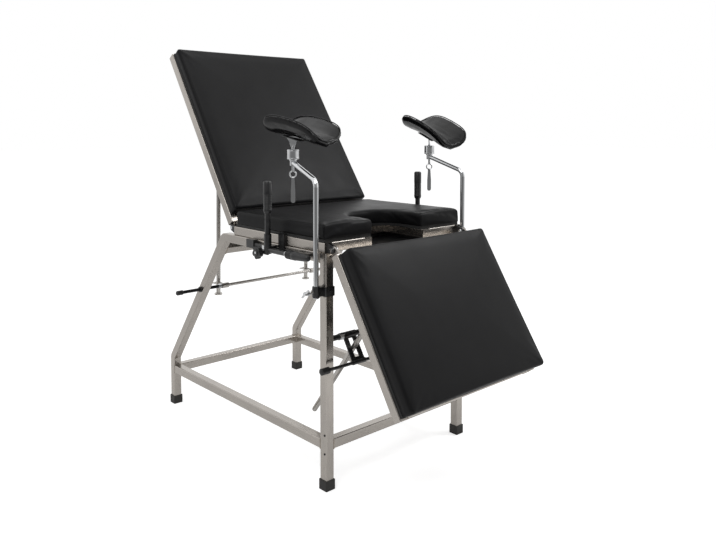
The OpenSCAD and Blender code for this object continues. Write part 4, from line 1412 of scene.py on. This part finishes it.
@dataclass
class SideGrips(Fitter):
    """Ribbed sleeves, ridged levers, star knob caps and the bright sliders of the side grips."""

    top: float = 921.0
    sleeve: Pair = (13.5, 102.0)
    ribs: int = 9
    rib_start: float = 14.0
    rib_pitch: float = 5.2
    lever_start: float = -329.3
    ridges: int = 5
    ridge_start: float = 9.0
    ridge_pitch: float = 5.0
    knob: Triple = (374.2, -206.0, 693.0)
    slider: tuple[Triple, Triple] = ((331.5, -229.0, 696.0), (337.5, -185.0, 710.0))

    def build(self) -> list[Piece]:
        """Builds both sides.

        Returns:
            The pieces.
        """
        for side, way in SIDES:
            self._sleeve(side, way)
            self._lever(side, way)
            self._knob(side, way)
            self._slider(side, way)
        return self.made

    def _sleeve(self, side: str, way: int) -> None:
        """Moulds a sleeve with a waist, finger ribs and a domed top.

        Args:
            side: left or right.
            way: -1 on the left and 1 on the right.
        """
        radius, length = self.sleeve
        deep = radius - 0.9
        profile: list[Pair] = [(radius - 2.5, 0.0), (radius - 1.2, 4.0), (radius, 8.0)]
        profile.append((radius, self.rib_start))
        for rib in range(self.ribs):
            low = self.rib_start + rib * self.rib_pitch
            profile += [(deep, low + 1.2), (deep, low + 2.4), (radius, low + 3.6)]
            profile.append((radius, low + self.rib_pitch))
        profile += [(radius, length - 5.0), (radius - 1.6, length - 2.0), (radius - 4.6, length)]
        x, y, _ = self.plan.grip
        spot = self.plan.at(way * x, y, self.top - length)
        piece = Bench.turn("grip_cover_" + side, profile, spot, sides=36, edge=0.0)
        self.give(piece, self.finishes.plastic(), "grip_post_" + side, "grip_sleeve_" + side)

    def _lever(self, side: str, way: int) -> None:
        """Turns the twist lever: a bright washer, a ridged head and a tapered handle.

        Args:
            side: left or right.
            way: -1 on the left and 1 on the right.
        """
        high, deep = 14.5, 13.2
        head: list[Pair] = [(12.0, 6.0), (13.8, 8.0)]
        for ridge in range(self.ridges):
            low = self.ridge_start + ridge * self.ridge_pitch
            head += [(high, low), (high, low + 2.6), (deep, low + 3.2), (deep, low + 4.4)]
        head += [(high, 35.0), (high, 49.0), (13.4, 53.0), (12.6, 70.0), (11.2, 90.0), (9.6, 105.0),
                 (8.6, 109.0), (6.0, 111.0)]
        washer = ((10.0, 0.0), (10.0, 1.6), (8.6, 2.2), (8.6, 3.6), (10.4, 4.2), (10.4, 6.0))
        x, _, z = self.plan.grip
        spot = self.plan.at(way * x, self.lever_start, z)
        piece = Bench.turn("twist_lever_" + side, head, spot, Facing.NEG_Y, 36, 0.2)
        self.give(piece, self.finishes.plastic(), "grip_lever_" + side, "grip_lever_" + side)
        ring = Bench.turn("lever_washer_" + side, washer, spot, Facing.NEG_Y, 32, 0.2)
        self.give(ring, self.finishes.chrome(), "grip_lever_" + side)

    def _knob(self, side: str, way: int) -> None:
        """Turns a raised hub with a bright screw end on the star knob.

        Args:
            side: left or right.
            way: -1 on the left and 1 on the right.
        """
        x, y, z = self.knob
        spot, facing = self.plan.at(way * x, y, z), Facing.outward(way)
        cap = ((11.0, 0.0), (10.4, 2.2), (8.0, 3.2), (7.6, 3.3), (7.4, 2.4))
        piece = Bench.turn("knob_hub_" + side, cap, spot, facing, 32, 0.2)
        self.give(piece, self.finishes.plastic(), "grip_knob_" + side)
        stud = Bench.turn("knob_stud_" + side, ((4.0, 0.0), (4.0, 3.4), (2.6, 4.2)), spot, facing, 20, 0.2)
        self.give(stud, self.finishes.chrome(), "grip_knob_" + side)

    def _slider(self, side: str, way: int) -> None:
        """Makes the bright block that runs on the rail behind the star knob.

        Args:
            side: left or right.
            way: -1 on the left and 1 on the right.
        """
        place = self.plan.put(0.0, 0.0, 0.0) @ Matrix.Diagonal((way, 1.0, 1.0, 1.0))
        block = Bench.block("rail_slider_" + side, *self.slider)
        self.lay(block, [place], self.finishes.chrome(), "grip_socket_" + side)


# Studio


@dataclass(frozen=True)
class Lamp:
    """A soft square lamp."""

    name: str
    place: Triple
    size: float
    watts: float

    def hang(self, aim: Triple) -> None:
        """Hangs the lamp.

        Args:
            aim: what it points at.
        """
        data = bpy.data.lights.new(self.name, "AREA")
        data.shape = "SQUARE"
        data.size = self.size
        data.energy = self.watts
        rig = bpy.data.objects.new(self.name, data)
        bpy.context.scene.collection.objects.link(rig)
        rig.location = self.place
        rig.rotation_euler = (Vector(aim) - Vector(self.place)).to_track_quat("-Z", "Y").to_euler()


@dataclass
class Studio:
    """Camera, lamps, floor and the pale room."""

    middle: float
    eye: Triple = (-1.6734, -2.120151, 1.0977)
    heading: float = 42.21
    dip: float = 3.0
    lens: float = 36.603
    shift: float = -0.1494
    sensor: float = 36.0
    sight: float = 200.0
    lamps: tuple[Lamp, ...] = (
        Lamp("key", (-2.6, -1.6, 3.4), 2.2, 42.0),
        Lamp("fill", (2.5, -1.7, 3.5), 1.3, 38.0),
        Lamp("top", (0.2, 0.6, 4.2), 3.0, 22.0),
    )
    aim: Triple = (0.0, 0.0, 0.7)
    room_light: float = 0.45
    dark_side: float = 0.72
    dark_spread: Pair = (0.1, 0.85)
    dark_from: Pair = (2.2, 3.6)
    floor_size: float = 60.0
    floor_drop: float = 0.0005
    floor_colour: float = 0.82
    floor_glow: float = 0.68
    mirrored_glow: float = 0.25

    def camera(self) -> None:
        """Puts the camera where the photograph was taken."""
        data = bpy.data.cameras.new("camera")
        data.lens = self.lens
        data.sensor_width = self.sensor
        data.shift_y = self.shift
        data.clip_end = self.sight
        rig = bpy.data.objects.new("camera", data)
        bpy.context.scene.collection.objects.link(rig)
        rig.location = (self.eye[0], self.eye[1] + self.middle, self.eye[2])
        rig.rotation_euler = (math.radians(90.0 - self.dip), 0.0, math.radians(-self.heading))
        bpy.context.scene.camera = rig

    def _toward_camera(self, graph: Graph, source: Socket) -> Socket:
        """How dark a direction is in reflections: most on the side that the photograph was taken from.

        Args:
            graph: the nodes of the room or the floor.
            source: the direction's socket.

        Returns:
            The darkness's socket.
        """
        turn = math.radians(self.heading)
        unit = graph.wire("ShaderNodeVectorMath", source, operation="NORMALIZE").outputs[0]
        side = graph.wire("ShaderNodeVectorMath", unit, (-math.sin(turn), -math.cos(turn), 0.0),
                          operation="DOT_PRODUCT").outputs["Value"]
        return graph.spread(side, 0.0, self.dark_side, *self.dark_spread, smooth=True)

    @staticmethod
    def _seen(graph: Graph, rays: bpy.types.Node) -> Socket:
        """Tells what the camera sees, straight or in metal and glass.

        Args:
            graph: the nodes of the room or the floor.
            rays: their Light Path node.

        Returns:
            The socket of 1 for camera, glossy and transmission rays, and 0 for the rest.
        """
        total = rays.outputs["Is Camera Ray"]
        for name in ("Is Glossy Ray", "Is Transmission Ray"):
            total = graph.math("MAXIMUM", total, rays.outputs[name])
        return total

    def room(self) -> None:
        """Lights the room evenly and shows it white to the camera and in reflections."""
        world = bpy.data.worlds.new("room")
        bpy.context.scene.world = world
        world.use_nodes = True
        graph = Graph(world.node_tree)
        rays = graph.add("ShaderNodeLightPath")
        direction = graph.add("ShaderNodeTexCoord").outputs["Generated"]
        white = graph.math("SUBTRACT", 1.0, self._toward_camera(graph, direction))
        walls = graph.math("MAXIMUM", rays.outputs["Is Camera Ray"], white)
        plain = (1.0, 1.0, 1.0, 1.0)
        dim = graph.wire("ShaderNodeBackground", plain, self.room_light).outputs[0]
        bright = graph.wire("ShaderNodeBackground", plain, walls).outputs[0]
        both = graph.wire("ShaderNodeMixShader", self._seen(graph, rays), dim, bright).outputs[0]
        graph.wire("ShaderNodeOutputWorld", both)

    def floor(self) -> None:
        """Lays a plain pale floor that keeps the chair's shadow."""
        Bench.only(None)
        bpy.ops.mesh.primitive_plane_add(size=self.floor_size, location=(0.0, 0.0, -self.floor_drop))
        floor = bpy.context.object
        floor.name = "floor"
        material = bpy.data.materials.new("floor")
        material.use_nodes = True
        graph = Graph(material.node_tree)
        rays = graph.add("ShaderNodeLightPath")
        place = graph.add("ShaderNodeTexCoord").outputs["Object"]
        away = graph.wire("ShaderNodeVectorMath", place, operation="LENGTH").outputs["Value"]
        far = graph.spread(away, 0.0, 1.0, *self.dark_from, smooth=True)
        dark = graph.math("MULTIPLY", self._toward_camera(graph, place), far)
        seen = graph.math("MULTIPLY", rays.outputs["Is Camera Ray"], self.floor_glow)
        mirrored = graph.math("MULTIPLY", self._seen(graph, rays), self.mirrored_glow)
        glow = graph.add("ShaderNodeEmission", Strength=graph.math("MAXIMUM", seen, mirrored)).outputs[0]
        matt = graph.wire("ShaderNodeBsdfDiffuse", (*(self.floor_colour,) * 3, 1.0)).outputs[0]
        lit = graph.wire("ShaderNodeAddShader", matt, glow).outputs[0]
        black = graph.wire("ShaderNodeBsdfDiffuse", (0.0, 0.0, 0.0, 1.0)).outputs[0]
        share = graph.math("MULTIPLY", rays.outputs["Is Glossy Ray"], dark)
        laid = graph.wire("ShaderNodeMixShader", share, lit, black).outputs[0]
        graph.wire("ShaderNodeOutputMaterial", laid)
        floor.data.materials.append(material)

    def build(self) -> None:
        """Sets up the whole studio."""
        self.camera()
        for lamp in self.lamps:
            lamp.hang(self.aim)
        self.room()
        self.floor()
        bpy.context.scene.view_settings.view_transform = "Standard"


def main() -> None:
    """Builds the chair in order."""
    logging.basicConfig(level=logging.INFO, format="%(name)s: %(message)s")
    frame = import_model()
    low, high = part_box("foot_caps")
    plan = Plan((low[1] + high[1]) / 2)
    Studio(plan.middle).build()
    finishes = Finishes()
    BareNodes(frame, finishes).dress()
    makers = [Pads(frame, plan, finishes)]
    makers += [fitter(plan, finishes) for fitter in (Joinery, Hinges, KneeRests, SideGrips)]
    for maker in makers:
        for piece in maker.build():
            LOG.info("made %s", piece.name)


if __name__ == "__main__":
    main()
